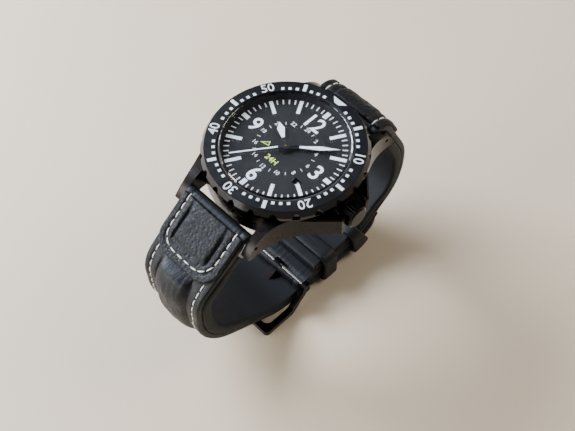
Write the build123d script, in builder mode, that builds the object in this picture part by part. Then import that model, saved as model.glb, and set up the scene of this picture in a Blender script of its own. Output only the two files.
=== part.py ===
from build123d import *
from math import asin, atan2, cos, hypot, pi, sin, tan
import os

# A diver-style wrist watch with a rotating bezel, a second-time-zone hand and a padded leather strap.
# The origin is the centre of the case back's outer face, on the hand axis. +Z runs out of the crystal,
# +Y to 12 o'clock and +X to the crown at 3 o'clock. Sizes are in millimetres.

# ---------------------------------------------------------------------------
# Case
# ---------------------------------------------------------------------------
case_radius = 20.9
case_bottom = 1.0
case_top = 8.3
case_edge_bevel = 0.7
neck_wall = 0.9
neck_top = 10.85
back_flange_radius = case_radius - 1.7
back_thread_radius = case_radius - 3.4
back_plate = 1.6
back_thread_top = 2.6
back_notches = 6

# Bezel
bezel_overhang = 0.6
bezel_radius = case_radius + bezel_overhang
bezel_band = 3.45
bezel_gap = 0.1
bezel_bottom = case_top + 0.15
bezel_top = 11.5
bezel_wall_bottom = 9.0
bezel_wall_top = 9.95
bezel_bevel = 0.95
insert_thickness = 0.5
insert_lip = 0.75
scallops = 24
scallop_radius = 1.2
scallop_depth = 0.55
scallop_bottom = 9.2
wire_bottom = 9.45
wire_top = 9.85
wire_depth = 0.25
wire_gap = 0.1

# Crystal, dial and flange
crystal_thickness = 1.45
crystal_bottom = 10.45
crystal_bevel = 0.3
gasket_wall = 0.25
dial_bottom = 8.5
dial_top = 9.0
dial_gap = 0.1
flange_width = 1.1
flange_slope = 0.55
date_radius = 10.9
date_angle = -30
date_window_width = 2.1
date_window_height = 1.7

bezel_bore = bezel_radius - bezel_band
neck_radius = bezel_bore - bezel_gap
cavity_radius = neck_radius - neck_wall
crystal_radius = cavity_radius - gasket_wall
crystal_top = crystal_bottom + crystal_thickness
flange_inner = cavity_radius - flange_width
flange_top = crystal_bottom - 0.05

# Lugs and spring bars
lug_gap = 22.0
lug_reach = 5.3
lug_tip_top = 1.5
lug_tip_bottom = 0.4
lug_tip_width = 2.6
bar_reach = 2.4
bar_height = 3.7
bar_radius = 0.9
bar_pivot_radius = 0.5
pivot_gap = 0.05

lug_side = lug_gap / 2
lug_tip = case_radius + lug_reach
bar_y = case_radius + bar_reach

# Crown
crown_height = 5.0
crown_radius = 3.2
crown_length = 4.1
crown_gap = 0.5
crown_cap = 2.1
crown_ribs = 26
crown_rib_radius = 0.24
guard_gap = 0.55
guard_reach = 3.4
guard_length = 8.4
tube_radius = 1.5
tube_bore = 0.75
tube_reach = 1.7
stem_radius = 0.6
stem_inner_end = 7.5
running_gap = 0.04

crown_inner = case_radius + crown_gap
crown_outer = crown_inner + crown_length

# Movement
movement_radius = 13.0
ring_gap = 0.1
ring_bottom = 3.1
plate_bottom = 6.6
plate_top = 7.6
bridge_bottom = 3.6
bridge_top = 4.4
pivot_radius = 0.2
pillar_radius = 0.95
pillar_inset = 1.15
pillar_angles = (25, 75, 140, 200, 290, 335)
screw_head_radius = 0.7
screw_radius = 0.38

# Hands: the time they show is a little past ten o'clock
hour_angle = 147
minute_angle = 40
seconds_angle = -126
dual_time_angle = -152
hand_thickness = 0.12
dual_time_level = 9.18
hour_level = 9.44
minute_level = 9.70
seconds_level = 9.96

# Strap
strap_side_gap = 0.2
strap_taper = 0.9
leather_thickness = 1.7
lining_thickness = 3.05
tail_lining_thickness = 1.6
layer_gap = 0.03
eye_radius = 1.9
patch_thickness = 1.1
patch_length = 15.8
patch_inset = 0.3
patch_corner = 5.5
tongue_width = 2.4
tongue_thickness = 1.2
tongue_gap = 0.15
tongue_overhang = 0.4
tongue_bend_radius = 2.0

# Where the strap loop runs, measured on its outer face
long_bulge = 18.1
short_bulge = 15.3
short_crest = 3.6
short_crest_radius = 5.5
shoulder_height = -7.6
loop_bottom = -46.6
tail_gap = 0.35
tail_past_turn = 12.5

# Buckle and keepers
buckle_bar_y = -4.5
buckle_bar_radius = 0.75
buckle_eye_radius = 1.6
buckle_side = 1.8
buckle_thickness = 1.8
buckle_length = 16.4
end_bar_width = 2.0
hole_pitch = 6.0
keeper_wall = 1.5
keeper_gap = 0.3
keeper_width = 5.0
fixed_keeper_y = 3.5

strap_half = lug_side - strap_side_gap
tail_half = strap_half - strap_taper
tail_thickness = leather_thickness + layer_gap + tail_lining_thickness
strap_thickness = leather_thickness + layer_gap + lining_thickness
short_bottom = loop_bottom + tail_thickness + tail_gap
buckle_bar_z = short_bottom + eye_radius


# ---------------------------------------------------------------------------
# Shared helpers
# ---------------------------------------------------------------------------
def turn(*corners, mode=Mode.ADD):
    """Revolve a closed profile of (radius, height) corners about the hand axis."""
    with BuildSketch(Plane.XZ) as profile:
        with BuildLine():
            Polyline(*corners, close=True)
        make_face()
    revolve(profile.sketch, axis=Axis.Z, mode=mode)


def turn_on_stem(*corners, mode=Mode.ADD):
    """Revolve a closed profile of (distance out, radius) corners about the crown's axis."""
    with BuildSketch(Plane((0, 0, crown_height), x_dir=(1, 0, 0), z_dir=(0, -1, 0))) as profile:
        with BuildLine():
            Polyline(*corners, close=True)
        make_face()
    revolve(profile.sketch, axis=Axis((0, 0, crown_height), (1, 0, 0)), mode=mode)


def plate(*corners, bottom, top, mode=Mode.ADD):
    """A flat piece with the given (x, y) corners between two heights."""
    with BuildSketch(Plane.XY.offset(bottom)) as outline:
        with BuildLine():
            Polyline(*corners, close=True)
        make_face()
    extrude(outline.sketch, amount=top - bottom, mode=mode)


def post(centre, radius, bottom, top, mode=Mode.ADD):
    """An upright cylinder between two heights."""
    with Locations((centre[0], centre[1], bottom)):
        Cylinder(radius, top - bottom, align=(Align.CENTER, Align.CENTER, Align.MIN), mode=mode)


def cross_bar(y, z, radius, half_length, mode=Mode.ADD):
    """A cylinder along X, centred on the watch's middle plane."""
    with Locations(Plane((0, y, z), z_dir=(1, 0, 0))):
        Cylinder(radius, 2 * half_length, mode=mode)


def polar(radius, angle):
    """The point at a radius and an angle in degrees."""
    return radius * cos(angle * pi / 180), radius * sin(angle * pi / 180)


def toothed(teeth, tip, depth, centre, bottom, top):
    """A toothed wheel whose teeth have flat tips and straight flanks."""
    corners = []
    for tooth in range(teeth):
        for share, radius in ((0.0, tip - depth), (0.4, tip - depth), (0.55, tip), (0.85, tip)):
            x, y = polar(radius, 360 * (tooth + share) / teeth)
            corners.append((centre[0] + x, centre[1] + y))
    plate(*corners, bottom=bottom, top=top)


def lighten(centre, radius, hole, bottom, top):
    """Five round windows through a wheel's web."""
    for step in range(5):
        x, y = polar(radius, 72 * step)
        post((centre[0] + x, centre[1] + y), hole, bottom, top, mode=Mode.SUBTRACT)


def spiral(centre, inner, outer, turns, thickness, bottom, top):
    """A flat ribbon wound in a spiral."""
    steps = 16 * turns
    rows = []
    for side in (-0.5, 0.5):
        row = []
        for step in range(steps + 1):
            radius = inner + (outer - inner) * step / steps + side * thickness
            x, y = polar(radius, 360 * turns * step / steps)
            row.append((centre[0] + x, centre[1] + y))
        rows.append(row)
    plate(*rows[0], *reversed(rows[1]), bottom=bottom, top=top)


def offset_corners(corners, distance):
    """The corners of an open path, moved to the right of its travel by a distance."""
    normals = []
    for (x0, y0), (x1, y1) in zip(corners, corners[1:]):
        length = hypot(x1 - x0, y1 - y0)
        normals.append(((y1 - y0) / length, (x0 - x1) / length))
    moved = [(corners[0][0] + distance * normals[0][0], corners[0][1] + distance * normals[0][1])]
    for corner, before, after in zip(corners[1:], normals, normals[1:]):
        share = distance / (1 + before[0] * after[0] + before[1] * after[1])
        moved.append((corner[0] + share * (before[0] + after[0]), corner[1] + share * (before[1] + after[1])))
    moved.append((corners[-1][0] + distance * normals[-1][0], corners[-1][1] + distance * normals[-1][1]))
    return moved


def band(path, radii, near, far, half_width, mode=Mode.ADD):
    """A strip along a path in the YZ plane, between two distances outside it, as wide as the strap there.

    Each radius is that of the path itself, and is positive where the path turns to its left.
    """
    with BuildSketch(Plane.YZ) as side:
        with BuildLine():
            edges = []
            for distance in (near, far):
                corners = offset_corners(path, distance)
                if radii:
                    edges.append(FilletPolyline(*corners, radius=[abs(r + distance) for r in radii]))
                else:
                    edges.append(Line(*corners))
            Line(edges[0] @ 0, edges[1] @ 0)
            Line(edges[0] @ 1, edges[1] @ 1)
        make_face()
    extrude(side.sketch, amount=half_width, both=True, mode=mode)


def tangent_end(bar, corner, radius, side):
    """The point beside a bar from which a straight run to a corner just grazes the bar's eye."""
    reach = hypot(corner[0] - bar[0], corner[1] - bar[1])
    heading = atan2(corner[1] - bar[1], corner[0] - bar[0]) - side * asin(radius / reach)
    return bar[0] + side * radius * -sin(heading), bar[1] + side * radius * cos(heading)


def along(start, towards, distance):
    """The point some way along the run from one point towards another."""
    share = distance / hypot(towards[0] - start[0], towards[1] - start[1])
    return start[0] + share * (towards[0] - start[0]), start[1] + share * (towards[1] - start[1])


def save(piece, name):
    """Label a finished piece and write it under its own name."""
    piece.part.label = name
    export_step(piece.part, f"parts/{name}.step")


os.makedirs("parts", exist_ok=True)


# ---------------------------------------------------------------------------
# Middle case with its lugs and crown guards
# ---------------------------------------------------------------------------
with BuildPart() as lug:
    with BuildSketch(Plane.YZ.offset(lug_side)):
        with BuildLine():
            Polyline(
                (case_radius - 7.9, case_top), (0, case_top), (0, case_bottom),
                (case_radius - 2, case_bottom), (lug_tip - 1.0, lug_tip_bottom), (lug_tip, lug_tip_top),
            )
            ThreePointArc((lug_tip, lug_tip_top), (lug_tip - 3.6, 5.6), (case_radius - 7.9, case_top))
        make_face()
    extrude(amount=case_radius)
    with BuildSketch(Plane.XY.offset(lug_tip_bottom)):
        with BuildLine():
            Polyline(
                (case_radius - 3.1, case_radius - 10), (lug_side, case_radius - 14),
                (lug_side, lug_tip), (lug_side + lug_tip_width, lug_tip),
            )
            ThreePointArc(
                (lug_side + lug_tip_width, lug_tip), (lug_side + 3.8, case_radius - 4.6),
                (case_radius - 3.1, case_radius - 10),
            )
        make_face()
    extrude(amount=case_top, mode=Mode.INTERSECT)
    crest = lug.edges().filter_by(lambda edge: edge.center().X > lug_side + 1.5 and edge.center().Z > 3)
    chamfer(crest.sort_by(Axis.Z)[-1], length=0.45)

with BuildPart() as guard:
    guard_inner = crown_radius + guard_gap
    plate(
        (case_radius - 4, guard_inner), (case_radius + guard_reach, guard_inner),
        (case_radius + guard_reach + 0.1, guard_inner + 1.0),
        (case_radius - 3.9, guard_inner + guard_length), (case_radius - 6, guard_inner + guard_length - 2),
        bottom=case_bottom + 0.9, top=case_top - 0.4,
    )
    chamfer(guard.faces().sort_by(Axis.Z)[-1].edges().sort_by(Axis.X)[-3:], length=0.5)

with BuildPart() as mid_case:
    turn(
        (0, case_bottom), (case_radius - case_edge_bevel, case_bottom),
        (case_radius, case_bottom + case_edge_bevel), (case_radius, case_top), (neck_radius, case_top),
        (neck_radius, neck_top), (0, neck_top),
    )
    for piece in (lug.part, guard.part):
        add(piece)
        add(piece.mirror(Plane.XZ))
    add(lug.part.mirror(Plane.YZ))
    add(lug.part.mirror(Plane.YZ).mirror(Plane.XZ))
    turn(
        (0, 0), (back_thread_radius + 0.05, 0), (back_thread_radius + 0.05, back_thread_top + 0.4),
        (cavity_radius - 0.6, back_thread_top + 0.4), (cavity_radius - 0.6, ring_bottom),
        (cavity_radius, ring_bottom), (cavity_radius, neck_top + 1), (0, neck_top + 1),
        mode=Mode.SUBTRACT,
    )
    turn(
        (neck_radius - wire_depth, wire_bottom), (neck_radius + 0.5, wire_bottom),
        (neck_radius + 0.5, wire_top), (neck_radius - wire_depth, wire_top),
        mode=Mode.SUBTRACT,
    )
    turn_on_stem(
        (0, 0), (case_radius + 1, 0), (case_radius + 1, tube_radius), (0, tube_radius),
        mode=Mode.SUBTRACT,
    )
    for side in (-1, 1):
        cross_bar(side * bar_y, bar_height, bar_pivot_radius + pivot_gap, lug_side + 8, mode=Mode.SUBTRACT)
    plate(
        *[polar(radius, angle) for radius, angle in (
            (neck_radius + 0.5, 90), (neck_radius + 0.5, 112),
            (neck_radius + 1.6, 112), (neck_radius + 1.6, 90),
        )],
        bottom=case_top - 0.6, top=case_top + 0.1, mode=Mode.SUBTRACT,
    )
save(mid_case, "mid_case")

with BuildPart() as case_back:
    turn(
        (0, 0), (back_flange_radius - 0.8, 0), (back_flange_radius, 0.5),
        (back_flange_radius, case_bottom - 0.05), (back_thread_radius, case_bottom - 0.05),
        (back_thread_radius, back_thread_top), (back_thread_radius - 1.1, back_thread_top),
        (back_thread_radius - 1.1, back_plate), (0, back_plate),
    )
    with PolarLocations(back_flange_radius, back_notches):
        Box(1.6, 2.4, 1.3, mode=Mode.SUBTRACT)
save(case_back, "case_back")

with BuildPart() as case_back_gasket:
    turn(
        (back_thread_radius - 0.8, back_thread_top + 0.02),
        (back_thread_radius - 0.1, back_thread_top + 0.02),
        (back_thread_radius - 0.1, back_thread_top + 0.38),
        (back_thread_radius - 0.8, back_thread_top + 0.38),
    )
save(case_back_gasket, "case_back_gasket")

# ---------------------------------------------------------------------------
# Bezel, its insert and zero mark, and what holds and clicks it
# ---------------------------------------------------------------------------
insert_outer = bezel_radius - bezel_bevel - 0.1
insert_inner = bezel_bore - insert_lip
insert_bottom = bezel_top - insert_thickness

with BuildPart() as bezel_ring:
    turn(
        (bezel_bore, bezel_bottom), (case_radius, bezel_bottom), (bezel_radius, bezel_wall_bottom),
        (bezel_radius, bezel_wall_top), (bezel_radius - bezel_bevel, bezel_top),
        (insert_outer + 0.03, bezel_top), (insert_outer + 0.03, insert_bottom), (bezel_bore, insert_bottom),
    )
    turn(
        (bezel_bore - 0.1, wire_bottom - wire_gap),
        (bezel_bore + wire_depth + wire_gap, wire_bottom - wire_gap),
        (bezel_bore + wire_depth + wire_gap, wire_top + wire_gap),
        (bezel_bore - 0.1, wire_top + wire_gap),
        mode=Mode.SUBTRACT,
    )
    with BuildSketch(Plane.XY.offset(scallop_bottom)):
        scallop_centre = bezel_radius + scallop_radius - scallop_depth
        with PolarLocations(scallop_centre, scallops, start_angle=180 / scallops):
            Circle(scallop_radius)
    extrude(amount=bezel_top - scallop_bottom + 1, mode=Mode.SUBTRACT)
save(bezel_ring, "bezel_ring")

marker_outer = insert_outer - 0.75
marker_inner = insert_inner + 0.95
with BuildPart() as bezel_marker:
    plate(
        (-0.75, marker_inner), (0.75, marker_inner), (2.3, marker_outer), (-2.3, marker_outer),
        bottom=bezel_top - 0.25, top=bezel_top + 0.02,
    )
save(bezel_marker, "bezel_marker")

with BuildPart() as bezel_insert:
    turn(
        (insert_inner, insert_bottom), (insert_outer, insert_bottom), (insert_outer, bezel_top),
        (insert_inner + 0.15, bezel_top), (insert_inner, bezel_top - 0.15),
    )
    add(bezel_marker.part, mode=Mode.SUBTRACT)
save(bezel_insert, "bezel_insert")

with BuildPart() as bezel_retaining_wire:
    turn(
        (neck_radius - wire_depth + 0.05, wire_bottom + 0.02), (bezel_bore + wire_depth, wire_bottom + 0.02),
        (bezel_bore + wire_depth, wire_top - 0.02), (neck_radius - wire_depth + 0.05, wire_top - 0.02),
    )
    with Locations((-neck_radius, 0, wire_bottom)):
        Box(4, 1.5, 2, mode=Mode.SUBTRACT)
save(bezel_retaining_wire, "bezel_retaining_wire")

with BuildPart() as bezel_click_spring:
    plate(
        *[polar(radius, angle) for radius, angle in (
            (neck_radius + 0.75, 92), (neck_radius + 0.75, 109), (neck_radius + 1.35, 109),
            (neck_radius + 1.35, 92),
        )],
        bottom=case_top - 0.58, top=case_top - 0.2,
    )
    with Locations(Pos(*polar(neck_radius + 1.0, 94), case_top - 0.2)):
        Box(0.8, 0.5, 0.5)
save(bezel_click_spring, "bezel_click_spring")

# ---------------------------------------------------------------------------
# Crystal, its gasket, the sloped flange and the dial
# ---------------------------------------------------------------------------
with BuildPart() as crystal:
    turn(
        (0, crystal_bottom), (crystal_radius, crystal_bottom), (crystal_radius, crystal_top - crystal_bevel),
        (crystal_radius - crystal_bevel, crystal_top), (0, crystal_top),
    )
save(crystal, "crystal")

with BuildPart() as crystal_gasket:
    turn(
        (crystal_radius, crystal_bottom), (cavity_radius, crystal_bottom), (cavity_radius, neck_top + 0.35),
        (crystal_radius, neck_top + 0.35),
    )
save(crystal_gasket, "crystal_gasket")

with BuildPart() as dial_flange:
    turn(
        (flange_inner, dial_top), (cavity_radius - 0.03, dial_top), (cavity_radius - 0.03, flange_top),
        (flange_inner + flange_slope, flange_top),
    )
save(dial_flange, "dial_flange")

with BuildPart() as dial:
    turn(
        (1.75, dial_bottom), (cavity_radius - dial_gap, dial_bottom), (cavity_radius - dial_gap, dial_top),
        (1.75, dial_top),
    )
    with Locations(Pos(*polar(date_radius, date_angle), dial_top)):
        Box(date_window_width, date_window_height, 2, mode=Mode.SUBTRACT)
save(dial, "dial")

# ---------------------------------------------------------------------------
# Crown, tube and stem
# ---------------------------------------------------------------------------
with BuildPart() as crown_tube:
    turn_on_stem(
        (cavity_radius + 0.1, tube_bore), (case_radius + tube_reach, tube_bore),
        (case_radius + tube_reach, tube_radius - 0.02), (cavity_radius + 0.1, tube_radius - 0.02),
    )
save(crown_tube, "crown_tube")

with BuildPart() as crown:
    turn_on_stem(
        (crown_inner + crown_cap, 0), (crown_inner + crown_cap, 2.35), (crown_inner, 2.35),
        (crown_inner, crown_radius - 0.5), (crown_inner + 0.4, crown_radius - 0.25),
        (crown_inner + 0.75, crown_radius), (crown_outer - 0.55, crown_radius),
        (crown_outer, crown_radius - 0.6), (crown_outer, 0),
    )
    with BuildSketch(Plane.YZ.offset(crown_inner + 0.75)):
        with Locations((0, crown_height)):
            with PolarLocations(crown_radius, crown_ribs):
                Circle(crown_rib_radius)
    extrude(amount=crown_length, mode=Mode.SUBTRACT)
save(crown, "crown")

with BuildPart() as crown_gasket:
    turn_on_stem(
        (crown_inner + 0.4, tube_radius + 0.03), (crown_inner + 0.4, 2.33),
        (crown_inner + 1.0, 2.33), (crown_inner + 1.0, tube_radius + 0.03),
    )
save(crown_gasket, "crown_gasket")

with BuildPart() as winding_stem:
    turn_on_stem(
        (stem_inner_end, 0), (stem_inner_end, stem_radius - 0.1), (stem_inner_end + 0.1, stem_radius),
        (crown_inner + crown_cap, stem_radius), (crown_inner + crown_cap, 0),
    )
save(winding_stem, "winding_stem")


def stem_pinion(start, end, radius, teeth):
    """A small toothed sleeve that rides on the stem."""
    turn_on_stem(
        (start, stem_radius + running_gap), (end, stem_radius + running_gap), (end, radius), (start, radius)
    )
    with BuildSketch(Plane.YZ.offset(start)) as gaps:
        with Locations((0, crown_height)):
            with PolarLocations(radius, teeth):
                Circle(0.13)
    extrude(gaps.sketch, amount=end - start, mode=Mode.SUBTRACT)


with BuildPart() as sliding_pinion:
    stem_pinion(8.6, 10.0, 1.05, 12)
save(sliding_pinion, "sliding_pinion")

with BuildPart() as winding_pinion:
    stem_pinion(10.15, 11.4, 1.2, 14)
save(winding_pinion, "winding_pinion")

with BuildPart() as movement_ring:
    turn(
        (movement_radius + ring_gap, ring_bottom + 0.02), (cavity_radius - 0.05, ring_bottom + 0.02),
        (cavity_radius - 0.05, dial_bottom), (movement_radius + ring_gap, dial_bottom),
    )
    turn_on_stem((0, 0), (case_radius, 0), (case_radius, 1.0), (0, 1.0), mode=Mode.SUBTRACT)
save(movement_ring, "movement_ring")

# ---------------------------------------------------------------------------
# Going train. Each pair keeps a small gap between tooth tips and roots.
# ---------------------------------------------------------------------------
mesh_gap = 0.06
centre = (0, 0)
centre_wheel_radius = 3.9
third_pinion_radius = 0.52
third_wheel_radius = 3.93
fourth_pinion_radius = 0.49
third_distance = centre_wheel_radius + third_pinion_radius + mesh_gap
barrel_radius = 4.9
centre_pinion_radius = 0.95
barrel_centre = polar(barrel_radius + centre_pinion_radius + mesh_gap, 140)
third_centre = polar(third_distance, -30)
fourth_wheel_radius = 3.75
escape_pinion_radius = 0.4
escape_centre = polar(fourth_wheel_radius + escape_pinion_radius + mesh_gap, -100)
escape_radius = 2.4
pallet_centre = (-3.53, -4.91)
balance_centre = (-4.6, -8.4)
balance_radius = 3.2

# Arbors at the centre sit one inside the other, each with the same running clearance.
seconds_arbor = 0.25
centre_bore = seconds_arbor + running_gap
centre_tube = 0.6
cannon_tube = 0.85
hour_bore = cannon_tube + running_gap
hour_tube = hour_bore + 0.22
dual_bore = hour_tube + running_gap
dual_tube = dual_bore + 0.22


def pivoted(centre, bottom=bridge_top - 0.3, top=plate_bottom + 0.4):
    """An arbor whose ends reach into the bridge and the main plate."""
    post(centre, pivot_radius, bottom, top)
    post(centre, pivot_radius + 0.1, bridge_top + 0.05, plate_bottom - 0.05)


with BuildPart() as barrel:
    toothed(72, barrel_radius, 0.28, barrel_centre, 5.5, 5.85)
    post(barrel_centre, barrel_radius - 0.35, 4.85, 5.85)
    post(barrel_centre, barrel_radius - 0.6, 5.0, 5.7, mode=Mode.SUBTRACT)
    post(barrel_centre, 0.95, 5.0, 5.7)
    pivoted(barrel_centre)
save(barrel, "barrel")

with BuildPart() as mainspring:
    spiral(barrel_centre, 1.3, barrel_radius - 0.8, 6, 0.16, 5.05, 5.65)
save(mainspring, "mainspring")

with BuildPart() as centre_wheel:
    toothed(60, centre_wheel_radius, 0.2, centre, 6.1, 6.28)
    lighten(centre, 2.45, 0.85, 6.0, 6.4)
    toothed(12, centre_pinion_radius, 0.2, centre, 5.45, 6.0)
    post(centre, centre_tube, 5.4, minute_level - 0.1)
    post(centre, centre_bore, 5.3, minute_level, mode=Mode.SUBTRACT)
save(centre_wheel, "centre_wheel")

with BuildPart() as third_wheel:
    toothed(64, third_wheel_radius, 0.2, third_centre, 5.0, 5.14)
    lighten(third_centre, 2.4, 0.85, 4.9, 5.2)
    pivoted(third_centre)
    toothed(8, third_pinion_radius, 0.15, third_centre, 6.0, 6.35)
save(third_wheel, "third_wheel")

with BuildPart() as fourth_wheel:
    toothed(70, fourth_wheel_radius, 0.18, centre, 4.52, 4.66)
    lighten(centre, 2.3, 0.8, 4.5, 4.7)
    toothed(8, fourth_pinion_radius, 0.14, centre, 4.66, 5.2)
    post(centre, seconds_arbor, bridge_top - 0.3, seconds_level + hand_thickness + 0.05)
save(fourth_wheel, "fourth_wheel")

with BuildPart() as escape_wheel:
    toothed(20, escape_radius, 0.5, escape_centre, 5.3, 5.42)
    lighten(escape_centre, 1.2, 0.4, 5.2, 5.5)
    toothed(7, escape_pinion_radius, 0.12, escape_centre, 4.5, 4.75)
    pivoted(escape_centre)
    post(escape_centre, pivot_radius + 0.1, 4.7, 5.4)
save(escape_wheel, "escape_wheel")

with BuildPart() as pallet_fork:
    with BuildSketch(Plane.XY.offset(5.55)):
        with Locations(pallet_centre):
            Circle(0.5)
        for angle, length in ((-107, 2.7), (70, 2.0), (-40, 2.0)):
            with Locations(Location((*pallet_centre, 0), angle)):
                Rectangle(length, 0.35, align=(Align.MIN, Align.CENTER))
    extrude(amount=0.14)
    pivoted(pallet_centre)
save(pallet_fork, "pallet_fork")

with BuildPart() as balance_wheel:
    post(balance_centre, balance_radius, 4.95, 5.25)
    post(balance_centre, balance_radius - 0.35, 4.95, 5.25, mode=Mode.SUBTRACT)
    with Locations((balance_centre[0], balance_centre[1], 5.1)):
        Box(2 * balance_radius - 0.4, 0.45, 0.2)
    pivoted(balance_centre)
    post(balance_centre, 0.55, 5.0, 5.2)
save(balance_wheel, "balance_wheel")

with BuildPart() as hairspring:
    spiral(balance_centre, 0.55, 1.9, 6, 0.07, 4.62, 4.74)
save(hairspring, "hairspring")

# ---------------------------------------------------------------------------
# Motion work under the dial
# ---------------------------------------------------------------------------
cannon_radius = 1.3
minute_wheel_radius = 2.55
minute_wheel_centre = polar(cannon_radius + minute_wheel_radius + mesh_gap, 75)
minute_wheel_distance = hypot(*minute_wheel_centre)
hour_pinion_radius = 0.95
hour_wheel_radius = minute_wheel_distance - hour_pinion_radius - mesh_gap
dual_pinion_radius = 0.5
dual_wheel_radius = minute_wheel_distance - dual_pinion_radius - mesh_gap

with BuildPart() as cannon_pinion:
    toothed(12, cannon_radius, 0.25, centre, plate_top + 0.05, plate_top + 0.22)
    post(centre, cannon_tube, plate_top + 0.05, minute_level + hand_thickness)
    post(centre, centre_tube, plate_top, minute_level + 1, mode=Mode.SUBTRACT)
save(cannon_pinion, "cannon_pinion")

with BuildPart() as minute_wheel:
    toothed(36, minute_wheel_radius, 0.2, minute_wheel_centre, plate_top + 0.06, plate_top + 0.2)
    toothed(12, hour_pinion_radius, 0.2, minute_wheel_centre, plate_top + 0.2, plate_top + 0.5)
    toothed(8, dual_pinion_radius, 0.12, minute_wheel_centre, plate_top + 0.5, plate_top + 0.78)
    post(minute_wheel_centre, pivot_radius, plate_bottom + 0.5, plate_top + 0.1)
save(minute_wheel, "minute_wheel")

with BuildPart() as hour_wheel:
    toothed(40, hour_wheel_radius, 0.2, centre, plate_top + 0.32, plate_top + 0.46)
    post(centre, hour_tube, plate_top + 0.32, hour_level + hand_thickness)
    post(centre, hour_bore, plate_top, hour_level + 1, mode=Mode.SUBTRACT)
save(hour_wheel, "hour_wheel")

with BuildPart() as dual_time_wheel:
    toothed(56, dual_wheel_radius, 0.2, centre, plate_top + 0.58, plate_top + 0.72)
    post(centre, dual_tube, plate_top + 0.58, dual_time_level + hand_thickness)
    post(centre, dual_bore, plate_top, dual_time_level + 1, mode=Mode.SUBTRACT)
save(dual_time_wheel, "dual_time_wheel")

date_seat_inner = 9.4
date_seat_outer = movement_radius - 0.3
date_level = plate_top + 0.3
with BuildPart() as date_ring:
    post(centre, date_seat_outer - 0.1, date_level, date_level + 0.3)
    with BuildSketch(Plane.XY.offset(date_level)):
        Circle(date_seat_inner + 0.2)
        with PolarLocations(date_seat_inner + 0.2, 31):
            Rectangle(0.5, 0.6)
    extrude(amount=0.3, mode=Mode.SUBTRACT)
save(date_ring, "date_ring")

# ---------------------------------------------------------------------------
# Main plate, bridges, screws and the winding rotor
# ---------------------------------------------------------------------------
pivots = (barrel_centre, third_centre, escape_centre, pallet_centre, balance_centre)
pillars = [polar(movement_radius - pillar_inset, angle) for angle in pillar_angles]
cock_foot = polar(movement_radius - 1.3, 262)

with BuildPart() as main_plate:
    turn(
        (centre_tube + running_gap, plate_bottom), (movement_radius, plate_bottom),
        (movement_radius, dial_bottom - 0.05), (date_seat_outer, dial_bottom - 0.05),
        (date_seat_outer, date_level - 0.05), (date_seat_inner, date_level - 0.05),
        (date_seat_inner, plate_top), (centre_tube + running_gap, plate_top),
    )
    for hole in pivots:
        post(hole, pivot_radius + running_gap, plate_bottom, plate_bottom + 0.5, mode=Mode.SUBTRACT)
    post(minute_wheel_centre, pivot_radius + running_gap, plate_bottom + 0.4, plate_top, mode=Mode.SUBTRACT)
save(main_plate, "main_plate")

with BuildPart() as train_bridge:
    post(centre, movement_radius - 0.1, bridge_bottom, bridge_top)
    for pillar in pillars:
        post(pillar, pillar_radius, bridge_top, plate_bottom)
    post(balance_centre, balance_radius + 1.1, bridge_bottom, plate_bottom, mode=Mode.SUBTRACT)
    post(cock_foot, 1.3, bridge_bottom, plate_bottom, mode=Mode.SUBTRACT)
    with Locations((movement_radius, 0, bridge_bottom)):
        Box(2 * (movement_radius - stem_inner_end) + 0.6, 3.4, 4, mode=Mode.SUBTRACT)
    for hole in pivots:
        post(hole, pivot_radius + running_gap, bridge_top - 0.5, bridge_top, mode=Mode.SUBTRACT)
    post(centre, seconds_arbor + running_gap, bridge_top - 0.5, bridge_top, mode=Mode.SUBTRACT)
    for pillar in pillars:
        post(pillar, screw_head_radius + 0.05, bridge_bottom, bridge_bottom + 0.4, mode=Mode.SUBTRACT)
        post(pillar, screw_radius + 0.02, bridge_bottom, plate_bottom, mode=Mode.SUBTRACT)
save(train_bridge, "train_bridge")

with BuildPart() as balance_cock:
    with BuildSketch(Plane.XY.offset(bridge_bottom)):
        with Locations(balance_centre):
            Circle(1.5)
        with BuildLine():
            Polyline(
                (balance_centre[0] - 0.2, balance_centre[1] + 1.2), (cock_foot[0] + 0.3, cock_foot[1] + 1.1),
                (cock_foot[0] + 0.3, cock_foot[1] - 0.9), (balance_centre[0], balance_centre[1] - 1.4),
                close=True,
            )
        make_face()
        with Locations(cock_foot):
            Circle(1.05)
    extrude(amount=bridge_top - bridge_bottom)
    post(cock_foot, 0.9, bridge_top, plate_bottom)
    post(balance_centre, pivot_radius + running_gap, bridge_top - 0.5, bridge_top, mode=Mode.SUBTRACT)
    post(cock_foot, screw_head_radius + 0.05, bridge_bottom, bridge_bottom + 0.4, mode=Mode.SUBTRACT)
    post(cock_foot, screw_radius + 0.02, bridge_bottom, plate_bottom, mode=Mode.SUBTRACT)
save(balance_cock, "balance_cock")

with BuildPart() as bridge_screws:
    for pillar in (*pillars, cock_foot):
        post(pillar, screw_head_radius, bridge_bottom + 0.05, bridge_bottom + 0.4)
        post(pillar, screw_radius, bridge_bottom + 0.4, plate_bottom - 0.1)
        with Locations((pillar[0], pillar[1], bridge_bottom)):
            Box(2, 0.25, 0.3, mode=Mode.SUBTRACT)
save(bridge_screws, "bridge_screws")

rotor_bottom = back_plate + 0.4
rotor_web = 0.45
with BuildPart() as rotor_bearing:
    post(centre, 1.4, rotor_bottom - 0.05, bridge_bottom)
    post(centre, 2.3, rotor_bottom + rotor_web + 0.25, bridge_bottom)
save(rotor_bearing, "rotor_bearing")

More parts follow.
